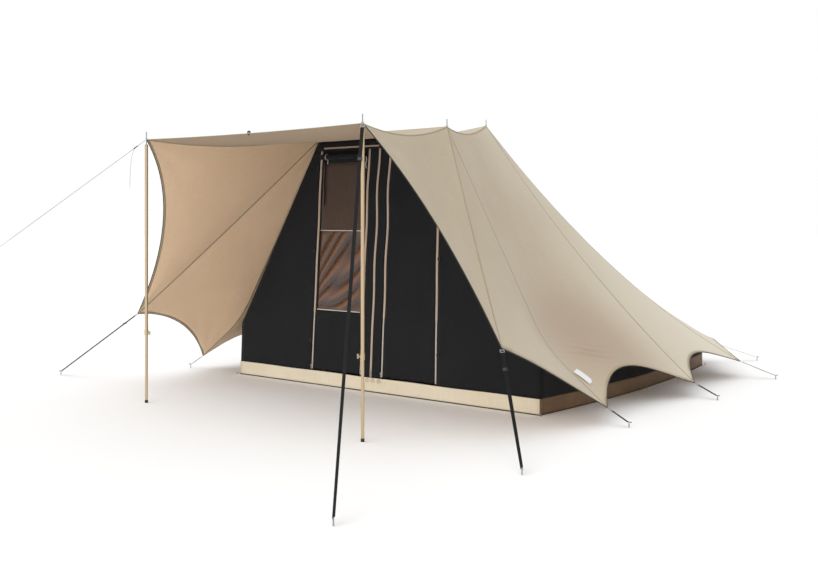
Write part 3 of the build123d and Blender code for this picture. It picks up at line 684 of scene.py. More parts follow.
# %% Creases above the label
# Beside the front corner the cloth is slack and lies in small creases that run along the side. The
# mesh is divided finer there, so that the creases are true shapes.
CREASES = Vector((1.81, -1.18, 0.445))
CREASE_ALONG = Vector((0.364, 0.916, -0.162))
CREASE_ACROSS = Vector((-0.759, 0.392, 0.519))
CREASE_LONG = 0.20
CREASE_WIDE = 0.085
CREASE_STEP = 72 * MM
CREASE_HEIGHT = 9 * MM
FINER = 0.36


def crease(gap):
    """How far the cloth stands out at a gap from the middle of the creases."""
    along, across = gap.dot(CREASE_ALONG), gap.dot(CREASE_ACROSS)
    fade = math.exp(-(along / CREASE_LONG) ** 2 - (across / CREASE_WIDE) ** 2)
    return CREASE_HEIGHT * fade * math.cos(2 * math.pi * across / CREASE_STEP + 1.1 * math.sin(9 * along))


finer = bmesh.new()
finer.from_mesh(fly.data)
for turn in (Vector, flip):
    middle = turn(CREASES)
    close = [edge for edge in finer.edges
             if all((vertex.co - middle).length < FINER for vertex in edge.verts)]
    bmesh.ops.subdivide_edges(finer, edges=close, cuts=3, use_grid_fill=True)
    finer.normal_update()
    moves = [(vertex, vertex.normal * crease(turn(vertex.co) - CREASES)) for vertex in finer.verts
             if (vertex.co - middle).length < FINER]
    for vertex, move in moves:
        vertex.co += move
finer.to_mesh(fly.data)
finer.free()
fly.data.shade_smooth()
# Slots 1 and 3 are the lit and the shaded copies of the canvas: painted light on the fly's inside, painted
# shade under the canopy.
for finish in (fly_inside_painted_light, fly_outside, canopy_underside_painted_shade):
    fly.data.materials.append(finish)
thicken(fly, 2 * MM, turned=True)
keep(fly, "tent", "sand_canvas", "fly_canopy", "fly_top", "fly_wing_right", "fly_wing_left",
     "fly_side_right", "fly_side_left", "fly_rear")

# %% [markdown]
# Seams on a canvas tent are felled: one edge is folded into the other and sewn down twice, which
# leaves a flat ridge about 18 mm wide. The cut hems are bound with dark tape that wraps the edge.
# Both are strips that follow the panels exactly, because they are sampled from the same surfaces.

# %% Seams and hems
SEAM_HALF = 8 * MM
HEM_DEEP = 22 * MM
EDGE_ENDS = {"left": ((0, None), 1), "right": ((1, None), -1),
             "top": ((None, 0), 1), "bottom": ((None, 1), -1)}


def inset(surface, edge, t, depth):
    """The point on a surface at depth inside one of its edges, t of the way along it."""
    (u, v), inward = EDGE_ENDS[edge]
    along_u = u is None
    start = (t, v) if along_u else (u, t)
    probe = 0.02 * inward
    beside = (t, v + probe) if along_u else (u + probe, t)
    span = (surface(*beside) - surface(*start)).length / 0.02
    share = inward * min(depth / max(span, 1e-6), 0.3)
    return surface(t, v + share) if along_u else surface(u + share, t)


def strip(columns):
    """A surface through columns, functions of v that lie side by side."""
    last = len(columns) - 1
    return lambda u, v: columns[min(int(u * last + 0.5), last)](v)


def seam(first, first_edge, second, second_edge):
    """The strip over the seam between two panels."""
    return strip([lambda t: inset(first, first_edge, t, SEAM_HALF),
                  lambda t: inset(second, second_edge, t, 0),
                  lambda t: inset(second, second_edge, t, SEAM_HALF)])


def hem(surface, edge, deep):
    """The strip along a cut edge."""
    return strip([lambda t: inset(surface, edge, t, 0), lambda t: inset(surface, edge, t, deep)])


half_seams = [("wing", "right", "front", "left"), ("front", "right", "side", "left"),
              ("side", "right", "back", "left"), ("back", "right", "corner", "left"),
              ("corner", "right", "rear", "left")]
seams = [seam(side[a], edge_a, side[b], edge_b) for side in (panels, left_panels)
         for a, edge_a, b, edge_b in half_seams]
seams += [seam(canopy, "right", panels["wing"], "top"), seam(top, "right", panels["side"], "top"),
          seam(canopy, "left", left_panels["wing"], "top"), seam(top, "left", left_panels["side"], "top"),
          seam(canopy, "bottom", top, "top"), seam(panels["rear"], "right", left_panels["rear"], "right")]
seam_strips = cloth("felled_seams", [(surface, 2, 2 * CELLS) for surface in seams], fly_seam)
thicken(seam_strips, 5 * MM)
keep(seam_strips, "tent", "sand_canvas")

cut_edges = [(side["wing"], "left") for side in (panels, left_panels)]
cut_edges += [(side[name], "bottom") for side in (panels, left_panels)
              for name in ("front", "side", "back", "corner", "rear")]
hems = [hem(surface, edge, HEM_DEEP) for surface, edge in cut_edges + [(canopy, "top")]]
hem_strips = cloth("bound_hems", [(surface, 1, 2 * CELLS) for surface in hems], fly_seam)
thicken(hem_strips, 4 * MM)
keep(hem_strips, "tent", "sand_canvas")

PIPE_R = 3.5 * MM
pipe_lines = [[inset(surface, edge, k / (2 * CELLS), 0) for k in range(2 * CELLS + 1)]
              for surface, edge in cut_edges]


def piping(name, lines, radius, finish):
    """Round cord sewn into an edge: one bevelled curve with a spline for each line, made a mesh."""
    curve = bpy.data.curves.new(name, "CURVE")
    curve.dimensions = "3D"
    for line in lines:
        spline = curve.splines.new("POLY")
        spline.points.add(len(line) - 1)
        for control, point in zip(spline.points, line):
            control.co = (*point, 1)
    curve.bevel_depth = radius
    curve.bevel_resolution = 1
    curve.use_fill_caps = True
    holder = bpy.data.objects.new(name, curve)
    mesh = bpy.data.meshes.new_from_object(holder)
    mesh.name = name
    bpy.data.objects.remove(holder)
    mesh.shade_smooth()
    return new_piece(name, mesh, finish)


hem_piping = piping("dark_hem_piping", pipe_lines, PIPE_R, hem_tape)
keep(hem_piping, "tent", "sand_canvas")


# %% [markdown]
# ## The inner tent
#
# Black canvas on a beige groundsheet. Its roof, sides and back lie out of sight under the fly, and
# hang a little slack between their eaves. The front wall leans back slightly, so everything on it is
# placed in the wall's own plane: across, up the slope, and out in front.

# %% Roof, side walls and back wall
BAND = 125 * MM
BAND_LAP = 6 * MM
ROOF_FRONT = Vector((0.700, furthest("inner_roof_top", 0, -1, 0).y, furthest("inner_roof_top", 0, -0.2, 1).z))
ROOF_REAR = furthest("inner_roof_rear", 0, -1, 0.2)
ROOF_REAR.x = 0
EAVE_REAR = furthest("inner_roof_rear", 1, 1, -1)
side_low, side_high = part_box("inner_side_wall_right")
SIDE_BOW = 0.110
foot_front = Vector((EAVE_FRONT.x, side_low[1], BAND - BAND_LAP))
foot_rear = Vector((EAVE_FRONT.x, side_high[1], BAND - BAND_LAP))
side_eave = straight(EAVE_FRONT, EAVE_REAR)
side_foot = straight(foot_front, foot_rear, Vector((SIDE_BOW, 0, 0)))
roof_edge = straight(ROOF_FRONT, ROOF_REAR, DROP * 0.030)
roof_hip = straight(ROOF_REAR, EAVE_REAR, DROP * 0.110)
roof_verge = straight(ROOF_FRONT, EAVE_FRONT)


def slack(surface, depth, waves):
    """The same surface with soft upright folds that fade out at its edges."""
    def at(u, v):
        sag = depth * math.sin(math.pi * u) * math.sin(math.pi * v) * math.sin(waves * u + 3 * v)
        point = surface(u, v)
        return point + Vector((math.copysign(sag, point.x), 0, 0))
    return at


side_wall = slack(patch(side_eave, side_foot, straight(EAVE_FRONT, foot_front),
                        straight(EAVE_REAR, foot_rear)), -6 * MM, 40)
roof_side = hung_in(patch(roof_edge, side_eave, roof_verge, roof_hip), 45 * MM, 0.4)
roof_top = patch(straight(flip(ROOF_FRONT), ROOF_FRONT), still(ROOF_REAR),
                 lambda t: flip(roof_edge(t)), roof_edge)
roof_rear = patch(still(ROOF_REAR), straight(EAVE_REAR, flip(EAVE_REAR)), roof_hip,
                  lambda t: flip(roof_hip(t)))
back_wall = patch(straight(EAVE_REAR, flip(EAVE_REAR)), straight(foot_rear, flip(foot_rear)),
                  straight(EAVE_REAR, foot_rear), straight(flip(EAVE_REAR), flip(foot_rear)))
inner_parts = [(side_wall, 60, 10), (mirrored(side_wall), 60, 10), (roof_side, 24, 24),
               (mirrored(roof_side), 24, 24), (roof_top, 24, 24), (roof_rear, 24, 24), (back_wall, 24, 6)]
inner_body = cloth("black_inner_tent", inner_parts, black_canvas)
thicken(inner_body, 1.5 * MM)
keep(inner_body, "tent", "black_canvas", "inner_side_wall_right", "inner_side_wall_left",
     "inner_rear_wall", "inner_roof_right", "inner_roof_left", "inner_roof_top", "inner_roof_rear")

# %% The front wall's plane and its zip lines
FOOT_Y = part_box("groundsheet")[0][1]
LEAN = math.atan2(90, 2150)
WALL_TOP = 2150 * MM
LINTEL = 2070 * MM
HALF_WIDTH = EAVE_FRONT.x
HALF_TOP = ROOF_FRONT.x
ZIPS = {"left_outer": (-702, -658), "left_inner": (-140, -105), "middle": (-26, 5),
        "right_inner": (95, 122), "right_outer": (655, 630)}
ZIP_WAVES = {"left_outer": 3, "left_inner": 5, "middle": 9, "right_inner": 9, "right_outer": 3}
WAVE_LONG = 0.62


def on_wall(x, height, depth):
    """A place given across the front wall, up its slope and out in front of it."""
    return Vector((x, FOOT_Y + height * math.sin(LEAN) - depth * math.cos(LEAN),
                   height * math.cos(LEAN) + depth * math.sin(LEAN)))


def zip_line(name, shift=0.0):
    """Where a zip runs, as x for a height, waving a little where the cloth is slack."""
    low, high = (x * MM for x in ZIPS[name])

    def at(height):
        rise = (height - BAND) / (LINTEL - BAND)
        wave = ZIP_WAVES[name] * MM * min(max(rise, 0), 1) * math.sin(2 * math.pi * height / WAVE_LONG)
        return low + (high - low) * rise + wave + shift
    return at


def verge(height):
    """Half the front wall's width at a height."""
    share = max((height - EAVE_FRONT.z) / (WALL_TOP - EAVE_FRONT.z), 0)
    return HALF_WIDTH - (HALF_WIDTH - HALF_TOP) * share


def wall_slack(x, height):
    """How far the wall's cloth sinks in, with none along the zips, the top and the foot."""
    room = min(abs(x - zip_line(name)(height)) for name in ZIPS)
    room = min(room, height - BAND, WALL_TOP - height, verge(height) - abs(x), 0.12) / 0.12
    pull_in = 0.5 + 0.5 * math.sin(9 * x + 3.1 * height) * math.sin(4.3 * height - 5 * x + 1)
    return -7 * MM * max(room, 0) * pull_in


def wall_panel(left, right, low, high, depth=0.0, ripple=True):
    """Cloth in the wall between two upright lines and two heights."""
    def at(u, v):
        height = high + (low - high) * v
        x = left(height) + (right(height) - left(height)) * u
        return on_wall(x, height, depth + (wall_slack(x, height) if ripple else 0))
    return at


# %% Front wall
FRONTWARD = (0, -1, 0)
SLIT = 10 * MM            # half of the gap that a closed zip fills
left_verge, right_verge = (lambda h: -verge(h)), verge
FOOT_LAP = BAND - BAND_LAP
wall_parts = []
for low, high, cells in ((FOOT_LAP, EAVE_FRONT.z, 8), (EAVE_FRONT.z, LINTEL, 36)):
    wall_parts += [
        (wall_panel(left_verge, zip_line("left_outer", -SLIT), low, high), 22, cells),
        (wall_panel(zip_line("left_inner", SLIT), zip_line("right_inner", -SLIT), low, high), 8, cells),
        (wall_panel(zip_line("right_outer", SLIT), right_verge, low, high), 22, cells),
    ]
wall_parts.append((wall_panel(left_verge, right_verge, LINTEL - 4 * MM, WALL_TOP), 40, 3))
front_wall = cloth("black_front_wall", wall_parts, black_canvas, FRONTWARD)
thicken(front_wall, 1.5 * MM)
keep(front_wall, "tent", "black_canvas", "inner_front_wall")

# %% [markdown]
# ## Doors, window and zips
#
# Each door hangs between two zips and is sewn to the wall only along its top, where it hinges when it
# is lifted. The left one has a window: insect net above, clear vinyl with a brown curtain behind it
# below, and its cover rolled up over it. A zip is two cream tapes with a coil between them. Under the
# doors' cross seam the tapes are narrower and paler.

# %% Door cloth
DOOR_LOW = 137 * MM
DOOR_HIGH = 2066 * MM
WINDOW = {"left": zip_line("left_outer", 30 * MM), "right": zip_line("left_inner", -34 * MM)}
WINDOW_LOW = 665 * MM
WINDOW_SPLIT = 1364 * MM
WINDOW_TOP = 1958 * MM
door_left, door_right = zip_line("left_outer", SLIT), zip_line("left_inner", -SLIT)
columns = ((door_left, WINDOW["left"], 2), (WINDOW["left"], WINDOW["right"], 16),
           (WINDOW["right"], door_right, 2))
levels = ((DOOR_LOW, WINDOW_LOW, 14), (WINDOW_LOW, WINDOW_TOP, 30), (WINDOW_TOP, DOOR_HIGH, 3))
left_parts = []
for column, (left, right, across) in enumerate(columns):
    for level, (low, high, up) in enumerate(levels):
        if (column, level) != (1, 1):
            left_parts.append((wall_panel(left, right, low, high), across, up))
left_door = cloth("left_door_cloth", left_parts, black_canvas, FRONTWARD)
thicken(left_door, 1.5 * MM)
keep(left_door, "left_door", "black_canvas", "left_door_panel")

right_parts = [(wall_panel(zip_line("right_inner", SLIT), zip_line("right_outer", -SLIT),
                           DOOR_LOW, DOOR_HIGH), 20, 46)]
right_door = cloth("right_door_cloth", right_parts, black_canvas, FRONTWARD)
thicken(right_door, 1.5 * MM)
keep(right_door, "right_door", "black_canvas", "right_door_panel")

# %% Zip tapes
TAPE_HALF = 10.5 * MM
TAPE_LOW_HALF = 6.5 * MM
CROSS_SEAM = 637 * MM
TAPE_DEPTH = 2.2 * MM


def tape_parts(name, side, low, high, half):
    """One half of a zip's tape, on the side given by -1 or 1."""
    edges = sorted((side * 1 * MM, side * half))
    surface = wall_panel(zip_line(name, edges[0]), zip_line(name, edges[1]), low, high, TAPE_DEPTH, False)
    return surface, 2, max(2, round((high - low) / 0.03))


def tapes(name, body, ends, nodes):
    """The cream and the pale stretches of tape for the zip halves in ends, as (zip, side)."""
    made = []
    for part, low, high, half, finish in (("upper", CROSS_SEAM, LINTEL, TAPE_HALF, zip_tape),
                                          ("lower", DOOR_LOW, CROSS_SEAM, TAPE_LOW_HALF, zip_tape_low)):
        piece = cloth(f"{name}_{part}", [tape_parts(z, side, low, high, half) for z, side in ends],
                      finish, FRONTWARD)
        thicken(piece, 1 * MM)
        made.append(keep(piece, body, "grey_tape", *nodes))
    return made


wall_tapes = tapes("wall_zip_tape", "tent", [("left_outer", -1), ("left_inner", 1), ("right_inner", -1),
                                             ("right_outer", 1)], ["wall_zip_tapes"])
left_tapes = tapes("left_door_zip_tape", "left_door", [("left_outer", 1), ("left_inner", -1)],
                   ["left_door_zip_tapes"])
right_tapes = tapes("right_door_zip_tape", "right_door", [("right_inner", 1), ("right_outer", -1)],
                    ["right_door_zip_tapes"])
middle_parts = [tape_parts("middle", side, FOOT_LAP, LINTEL, TAPE_HALF) for side in (-1, 1)]
head_low, head_high = LINTEL + 16 * MM, LINTEL + 30 * MM
head_from, head_to = -632 * MM, 2 * MM
middle_parts.append((wall_panel(lambda h: head_from, lambda h: head_to, head_low, head_high,
                                TAPE_DEPTH, False), 24, 2))
plain_tapes = cloth("middle_and_head_zip_tape", middle_parts, zip_tape, FRONTWARD)
thicken(plain_tapes, 1 * MM)
keep(plain_tapes, "tent", "grey_tape", "wall_zip_tapes")

# %% Zip coils
coil_finish, tree, shader = new_finish("moulded_nylon_zip_coil", Roughness=0.35)
shader.inputs["Base Color"].default_value = linear("#D8CCBE")
TOOTH_STEP = 9 * MM       # coarser than real teeth, so that they can be seen
TOOTH = (3.2 * MM, 3 * MM, 1.1 * MM)


def coil(name, places):
    """Zip teeth as small blocks, at places given as (x, height)."""
    teeth = bmesh.new()
    for x, height in places:
        centre = on_wall(x, height, TAPE_DEPTH + 1.4 * MM)
        turn = Matrix.Rotation(-LEAN, 4, "X")
        bmesh.ops.create_cube(teeth, size=2, matrix=Matrix.Translation(centre) @ turn
                              @ Matrix.Diagonal((TOOTH[0], TOOTH[2], TOOTH[1], 1)))
    mesh = bpy.data.meshes.new(name)
    teeth.to_mesh(mesh)
    teeth.free()
    return keep(new_piece(name, mesh, coil_finish), "tent", "cream_zip")


tooth_places = []
for name in ZIPS:
    start = BAND if name == "middle" else DOOR_LOW
    count = int((LINTEL - start) / TOOTH_STEP)
    heights = [start + (k + 0.5) * TOOTH_STEP for k in range(count)]
    tooth_places += [(zip_line(name)(height), height) for height in heights]
zip_coils = coil("zip_coils", tooth_places)

# %% Window panes
net_frame = (zip_line("left_outer", 27 * MM), zip_line("left_inner", -31 * MM))
net_surface = wall_panel(*net_frame, WINDOW_SPLIT, WINDOW_TOP + 3 * MM, -1.5 * MM, False)
net = cloth("window_net", [(net_surface, 16, 16)], window_net, FRONTWARD)
thicken(net, 0.8 * MM)
keep(net, "left_door", "brown_mesh", "window_mesh")


def curtain(u, v):
    """The vinyl with the folds of the curtain pressed against it, which fan out from its lower left."""
    height = WINDOW_SPLIT + (WINDOW_LOW - 3 * MM - WINDOW_SPLIT) * v
    left, right = (line(height) for line in net_frame)
    angle = math.atan2(1.35 - v, u + 0.9)
    crease = math.sin(angle * 48 + 1.8 * math.sin(7 * u + 5 * v)) + 0.5 * math.sin(angle * 61 + 4 * v)
    fade = min(u, 1 - u, v, 1 - v, 0.06) / 0.06
    return on_wall(left + (right - left) * u, height, -4 * MM + 3.2 * MM * crease * fade)


vinyl_finish, tree, shader = new_finish("clear_vinyl_over_brown_curtain", Roughness=0.18, Coat_Weight=0.6,
                                        Coat_Roughness=0.1)
place = add_node(tree, "ShaderNodeUVMap", uv_map="UVMap").outputs["UV"]
# Painted light and shade: the curtain is painted lighter where its folds stand forward and darker in the
# hollows between them.
tone = add_node(tree, "ShaderNodeAttribute", attribute_name="crease")
fold_light_mask = add_node(tree, "ShaderNodeMapRange", {"Value": tone.outputs["Fac"],
                                             "From Min": 0.25, "From Max": 0.95})
painted_fold_shading = add_node(tree, "ShaderNodeMix", {0: fold_light_mask.outputs[0], 6: linear("#3A1E0C"), 7: linear("#6E4426")},
                data_type="RGBA")
tree.links.new(painted_fold_shading.outputs[2], shader.inputs["Base Color"])
vinyl = cloth("window_vinyl", [(curtain, 60, 70)], vinyl_finish, FRONTWARD)
crease = vinyl.data.attributes.new("crease", "FLOAT", "POINT")
wall_normal = on_wall(0, 0, 1) - on_wall(0, 0, 0)
for vertex, value in zip(vinyl.data.vertices, crease.data):
    depth = (vertex.co - on_wall(0, 0, 0)).dot(wall_normal)
    value.value = min(max((depth + 8 * MM) / (8 * MM), 0), 1)
thicken(vinyl, 0.6 * MM)
keep(vinyl, "left_door", "clear_vinyl", "window_vinyl")

# %% Window binding, cross seams and the rolled cover
BINDING = 8 * MM
binding_parts = []
for height in (WINDOW_SPLIT, WINDOW_LOW):
    strip_low, strip_high = height - BINDING / 2, height + BINDING / 2
    binding_parts.append((wall_panel(*net_frame, strip_low, strip_high, 1.6 * MM, False), 12, 1))
binding = cloth("window_binding", binding_parts, zip_tape_low, FRONTWARD)
thicken(binding, 1 * MM)
keep(binding, "left_door", "grey_tape")

cross = wall_panel(zip_line("right_inner", SLIT), zip_line("right_outer", -SLIT),
                   CROSS_SEAM - 6 * MM, CROSS_SEAM + 6 * MM, 1.2 * MM, True)
cross_seam = cloth("right_door_cross_seam", [(cross, 20, 1)], black_canvas, FRONTWARD)
thicken(cross_seam, 1.2 * MM)
keep(cross_seam, "right_door", "black_canvas")

ROLL_H = 2012 * MM
ROLL_R = 24 * MM
ROLL_DEPTH = 29 * MM
ROLL_TURNS = 3.2
TIE_SHARES = (0.12, 0.88)
TIE_R = 24 * MM
roll_from = zip_line("left_outer", 22 * MM)(ROLL_H)
roll_to = zip_line("left_inner", -22 * MM)(ROLL_H)


def rolled(u, v):
    """A spiral of cloth round the roll's middle, pinched where the ties hold it."""
    turn = 2 * math.pi * ROLL_TURNS * v
    pinch = sum(math.exp(-((u - tie) / 0.03) ** 2) for tie in TIE_SHARES)
    radius = ROLL_R * (1 - 0.22 * v * ROLL_TURNS / 3) * (1 - 0.16 * pinch) + 1 * MM * math.sin(17 * u + turn)
    x = roll_from + (roll_to - roll_from) * u
    return on_wall(x, ROLL_H + radius * math.cos(turn), ROLL_DEPTH - radius * math.sin(turn) - 2 * MM)


cover_roll = cloth("window_cover_roll_cloth", [(rolled, 40, 90)], black_canvas, FRONTWARD)
thicken(cover_roll, 1.5 * MM)
keep(cover_roll, "left_door", "black_canvas", "window_cover_roll")

tie_lines = []
for share in TIE_SHARES:
    x = roll_from + (roll_to - roll_from) * share
    ring = [on_wall(x, ROLL_H + TIE_R * math.cos(a), ROLL_DEPTH - 2 * MM + TIE_R * math.sin(a))
            for a in [2 * math.pi * k / 20 for k in range(21)]]
    tie_lines.append(ring)
    tie_lines.append([on_wall(x + 3 * MM * math.sin(k), ROLL_H - (20 + 10 * k) * MM, 14 * MM)
                      for k in range(5)])
ties = piping("grey_cover_ties", tie_lines, 3 * MM, zip_tape_low)
keep(ties, "left_door", "grey_tape", "cover_ties")

# %% [markdown]
# ## Small sewn parts
#
# A blank satin label is sewn to the side above its front corner. Grey loops hang from both ends of
# the cover's roll, and thin tan ones from the upstand by the doors. A black hook sits in the middle of
# the canopy's front hem.

# %% Label
LABEL_CENTRE = (0.050, 0.904)        # across and down the side panel
LABEL_LONG = 150 * MM
LABEL_WIDE = 80 * MM
LABEL_ALONG = Vector((0.124, 0.034, -0.081)).normalized()
LABEL_OUT = 3 * MM
side_panel = panels["side"]
label_middle = side_panel(*LABEL_CENTRE)
beside = side_panel(LABEL_CENTRE[0] + 0.02, LABEL_CENTRE[1]) - label_middle
below = side_panel(LABEL_CENTRE[0], LABEL_CENTRE[1] + 0.02) - label_middle
out = beside.cross(below).normalized()
out = -out if out.z < 0 else out
label_along = (LABEL_ALONG - out * LABEL_ALONG.dot(out)).normalized()
label_across = out.cross(label_along)
label_across = -label_across if label_across.z < 0 else label_across


def label_face(u, v):
    """The label, a little arched, laid on the cloth."""
    spot = label_middle + label_along * (u - 0.5) * LABEL_LONG + label_across * (0.5 - v) * LABEL_WIDE
    rise = LABEL_OUT + 4 * MM * math.sin(math.pi * u)
    return spot + out * rise


label = cloth("blank_label", [(label_face, 14, 6)], label_cloth, out)
thicken(label, 1 * MM)
keep(label, "tent", "sand_canvas")

# %% Loops and hook
loop_lines = []
for share in (-0.02, 1.0):
    x = roll_from + (roll_to - roll_from) * share
    loop_lines.append([on_wall(x + 6 * MM * math.sin(k * 0.8), ROLL_H - (6 + 13 * k) * MM, 24 * MM - k * MM)
                       for k in range(9)])
roll_loops = piping("grey_roll_loops", loop_lines, 3.5 * MM, zip_tape_low)
keep(roll_loops, "left_door", "grey_tape")

# Two straps hang from the roll. Each: how far along the roll, and its length.
COVER_STRAPS = {"left": (0.07, 0.40), "right": (0.93, 0.55)}
COVER_STRAP_SCALE = 0.6
for name, (share, strap_length) in COVER_STRAPS.items():
    x = roll_from + (roll_to - roll_from) * share
    line = [on_wall(x + 3 * MM * math.sin(k), ROLL_H - 28 * MM - strap_length * k / 10, 15 * MM)
            for k in range(11)]
    cover_strap = band("cover_strap_" + name, line, webbing_cloth, scale=COVER_STRAP_SCALE,
                       upright=Vector(FRONTWARD))
    keep(cover_strap, "left_door", "black_webbing")

# A tab at each toggle runs towards its zip and ends TAB_TO from the zip's line. Each: its zip, the
# toggle's side of the zip and the toggle's height in millimetres.
TOGGLE_TABS = [("left_outer", -1, 1924), ("left_outer", -1, 1180), ("left_outer", -1, 389),
               ("right_outer", 1, 1143), ("right_outer", 1, 371)]
TAB_FROM = 36 * MM
TAB_TO = 9 * MM
TAB_HALF = 12 * MM
tab_parts = []
for name, side, height in TOGGLE_TABS:
    ends = sorted((side * TAB_FROM, side * TAB_TO))
    tab_parts.append((wall_panel(zip_line(name, ends[0]), zip_line(name, ends[1]), height * MM - TAB_HALF,
                                 height * MM + TAB_HALF, 6.5 * MM, False), 3, 2))
tabs = cloth("door_toggle_tabs", tab_parts, webbing_cloth, FRONTWARD)
thicken(tabs, 1.6 * MM)
keep(tabs, "tent", "black_webbing")

UPSTAND_LOOPS = (-0.055, 0.005, 0.070)
loop_lines = []
for x in UPSTAND_LOOPS:
    line = []
    for k in range(13):
        turn = math.pi * k / 12
        line.append(Vector((x + 16 * MM * math.sin(2 * turn), FOOT_Y - (7 + 4 * math.sin(turn)) * MM,
                            BAND - (8 + 30 * math.sin(turn)) * MM)))
    loop_lines.append(line)
upstand_loops = piping("tan_upstand_loops", loop_lines, 2 * MM, zip_tape)
keep(upstand_loops, "tent", "beige_groundsheet")

hook_middle = front_hem(0.516) + Vector((0, 12, 8)) * MM
hook_line = [hook_middle + Vector((14 * math.cos(a), 0, 11 * math.sin(a))) * MM
             for a in [2 * math.pi * k / 24 for k in range(25)]]
hook_line += [hook_middle + Vector((0, 0, 11 - 8 * k)) * MM for k in range(5)]
hook = piping("black_canopy_hook", [hook_line], 3.5 * MM, webbing_cloth)
keep(hook, "tent", "black_webbing")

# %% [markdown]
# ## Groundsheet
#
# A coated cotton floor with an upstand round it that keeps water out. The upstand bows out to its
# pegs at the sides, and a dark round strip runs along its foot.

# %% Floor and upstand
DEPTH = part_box("groundsheet")[1][1] - FOOT_Y
FLOOR_TOP = 3 * MM
floor_corner = Vector((HALF_WIDTH, FOOT_Y, FLOOR_TOP))
floor_side = straight(floor_corner, floor_corner + Vector((0, DEPTH, 0)), Vector((SIDE_BOW, 0, 0)))


def ground(u, v):
    """The floor, side to side and front to back, with the slight unevenness of cloth on grass."""
    edge = floor_side(v)
    x = edge.x * (2 * u - 1)
    fade = math.sin(math.pi * u) * math.sin(math.pi * v)
    bump = 1.5 * MM * math.sin(5 * x + 2) * math.sin(7 * edge.y) * fade
    return Vector((x, edge.y, FLOOR_TOP + bump))


groundsheet = cloth("beige_groundsheet", [(ground, 40, 40)], floor_cloth)
thicken(groundsheet, 2 * MM)
keep(groundsheet, "tent", "beige_groundsheet", "groundsheet")

OUT = 2 * MM
near_foot = Vector((HALF_WIDTH, FOOT_Y - OUT, 0))
rear_foot = Vector((HALF_WIDTH, FOOT_Y + DEPTH + OUT, 0))
front_run = straight(flip(near_foot), near_foot)
rear_run = straight(rear_foot, flip(rear_foot))
right_run = straight(near_foot, rear_foot, Vector((SIDE_BOW + OUT, 0, 0)))


def upstand(run, face):
    """A strip of upstand along a run, its top edge a little uneven and its middle a little full."""
    def at(u, v):
        point = run(u)
        fade = min(u, 1 - u, 0.1) * 10
        full = (3 * math.sin(19 * u + 1) + 2 * math.sin(43 * u)) * MM * math.sin(math.pi * v) * fade
        height = 2 * MM + (BAND - 4 * MM) * (1 - v) + 2 * MM * math.sin(23 * u) * fade * (1 - v)
        return point + Vector(face) * full + UP * height
    return at


side_strip = upstand(right_run, (1, 0, 0))
# The side strips take slot 1, the darker copy of the upstand's cloth: painted shade.
upstands = [(upstand(front_run, (0, -1, 0)), 60, 6), (side_strip, 60, 6, 1), (mirrored(side_strip), 60, 6, 1),
            (upstand(rear_run, (0, 1, 0)), 60, 6)]
upstand_piece = cloth("cream_upstand", upstands, upstand_cloth)
upstand_piece.data.materials.append(side_upstand_painted_shade)
thicken(upstand_piece, 2 * MM)
keep(upstand_piece, "tent", "beige_groundsheet", "groundsheet_upstand")
# A dark round strip along the foot of the upstand.
foot_strip_lines = [[run(k / 48) + Vector(face) * 1.5 * MM + UP * 4.5 * MM for k in range(49)]
              for run, face in ((front_run, (0, -1, 0)), (right_run, (1, 0, 0)), (rear_run, (0, 1, 0)))]
foot_strip_lines.append([flip(point) for point in foot_strip_lines[1]])
foot_strip = piping("dark_upstand_foot_strip", foot_strip_lines, 4 * MM, hem_tape)
keep(foot_strip, "tent", "beige_groundsheet")

# %% [markdown]
# ## Hard parts
#
# The tubes are gold-anodised aluminium: a clear, slightly satin metal with the faint lines of drawn
# tube. Pegs, rings and spikes are galvanised steel, the eyelets and wing screws brass, the feet
# moulded rubber, and the buckles black acetal.

# %% Metal and plastic
def metal(name, light, dark, rough, grain, relief):
    """Metal whose roughness and tone follow a grain, stretched along the part where it was drawn."""
    material, tree, shader = new_finish(name, Metallic=1.0)
    place = add_node(tree, "ShaderNodeTexCoord").outputs["Object"]
    lines = add_node(tree, "ShaderNodeMapping", {"Vector": place, "Scale": grain})
    noise = add_node(tree, "ShaderNodeTexNoise", {"Vector": lines.outputs[0], "Scale": 1, "Detail": 4})
    tone = add_node(tree, "ShaderNodeMix", {0: noise.outputs["Fac"], 6: linear(dark), 7: linear(light)},
                    data_type="RGBA")
    gloss = add_node(tree, "ShaderNodeMapRange", {"Value": noise.outputs["Fac"], "To Min": rough * 0.75,
                                                  "To Max": rough * 1.25})
    bump = add_node(tree, "ShaderNodeBump", {"Height": noise.outputs["Fac"], "Distance": relief})
    tree.links.new(tone.outputs[2], shader.inputs["Base Color"])
    tree.links.new(gloss.outputs[0], shader.inputs["Roughness"])
    tree.links.new(bump.outputs[0], shader.inputs["Normal"])
    return material


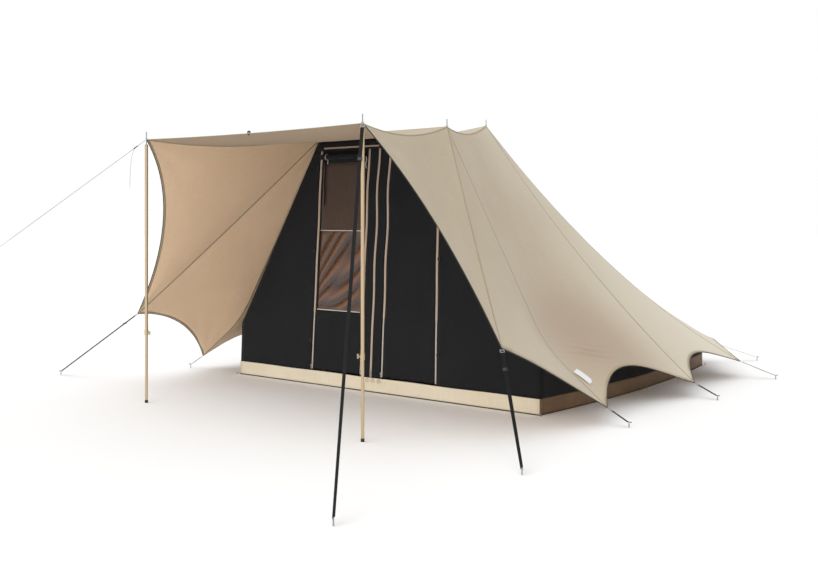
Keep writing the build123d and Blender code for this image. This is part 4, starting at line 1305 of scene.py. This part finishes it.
def moulded(name, light, dark, rough, grit):
    """Moulded rubber or plastic: a fine grit of a given size over one colour."""
    material, tree, shader = new_finish(name, Roughness=rough)
    place = add_node(tree, "ShaderNodeTexCoord").outputs["Object"]
    noise = add_node(tree, "ShaderNodeTexNoise", {"Vector": place, "Scale": 1 / grit, "Detail": 3})
    tone = add_node(tree, "ShaderNodeMix", {0: noise.outputs["Fac"], 6: linear(dark), 7: linear(light)},
                    data_type="RGBA")
    bump = add_node(tree, "ShaderNodeBump", {"Height": noise.outputs["Fac"], "Distance": 0.1 * MM})
    tree.links.new(tone.outputs[2], shader.inputs["Base Color"])
    tree.links.new(bump.outputs[0], shader.inputs["Normal"])
    return material


gold_tube = metal("gold_anodised_aluminium", "#D8C5A6", "#BBA482", 0.42, (180, 180, 3), 0.05 * MM)
steel = metal("galvanised_steel", "#B9BCC0", "#85888C", 0.45, (120, 120, 120), 0.1 * MM)
brass = metal("turned_brass", "#D3C4A2", "#A4957A", 0.35, (90, 90, 90), 0.05 * MM)
rubber = moulded("black_moulded_rubber", "#2B2B2D", "#1B1B1C", 0.75, 1.5 * MM)
plastic = moulded("black_moulded_acetal", "#2A2B2E", "#1C1D1F", 0.4, 1 * MM)
NODE_FINISHES = {
    "canopy_pole_right_upper": gold_tube, "canopy_pole_left_upper": gold_tube,
    "canopy_pole_right_lower": gold_tube, "canopy_pole_left_lower": gold_tube,
    "canopy_pole_right_foot": rubber, "canopy_pole_left_foot": rubber, "upright_feet": rubber,
    "pole_clamps": gold_tube, "upright_lower_tubes": gold_tube, "upright_upper_tubes": gold_tube,
    "spreader_bar": gold_tube, "pole_spikes": steel, "corner_rings": steel, "pegs": steel,
    "spike_eyelets": brass, "wing_screw_right": brass, "wing_screw_left": brass,
    "strap_buckle_canopy_right": plastic, "strap_buckle_wing_right": plastic,
    "strap_buckle_wing_left": plastic, "cord_tensioner": plastic, "door_toggles": plastic,
}
NODE_FINISHES.update({"zip_slider_" + name: steel for name in ZIPS})
for node, finish in NODE_FINISHES.items():
    data = bpy.data.objects[node].data
    data.materials.clear()
    data.materials.append(finish)
print(len(NODE_FINISHES), "CAD nodes finished")
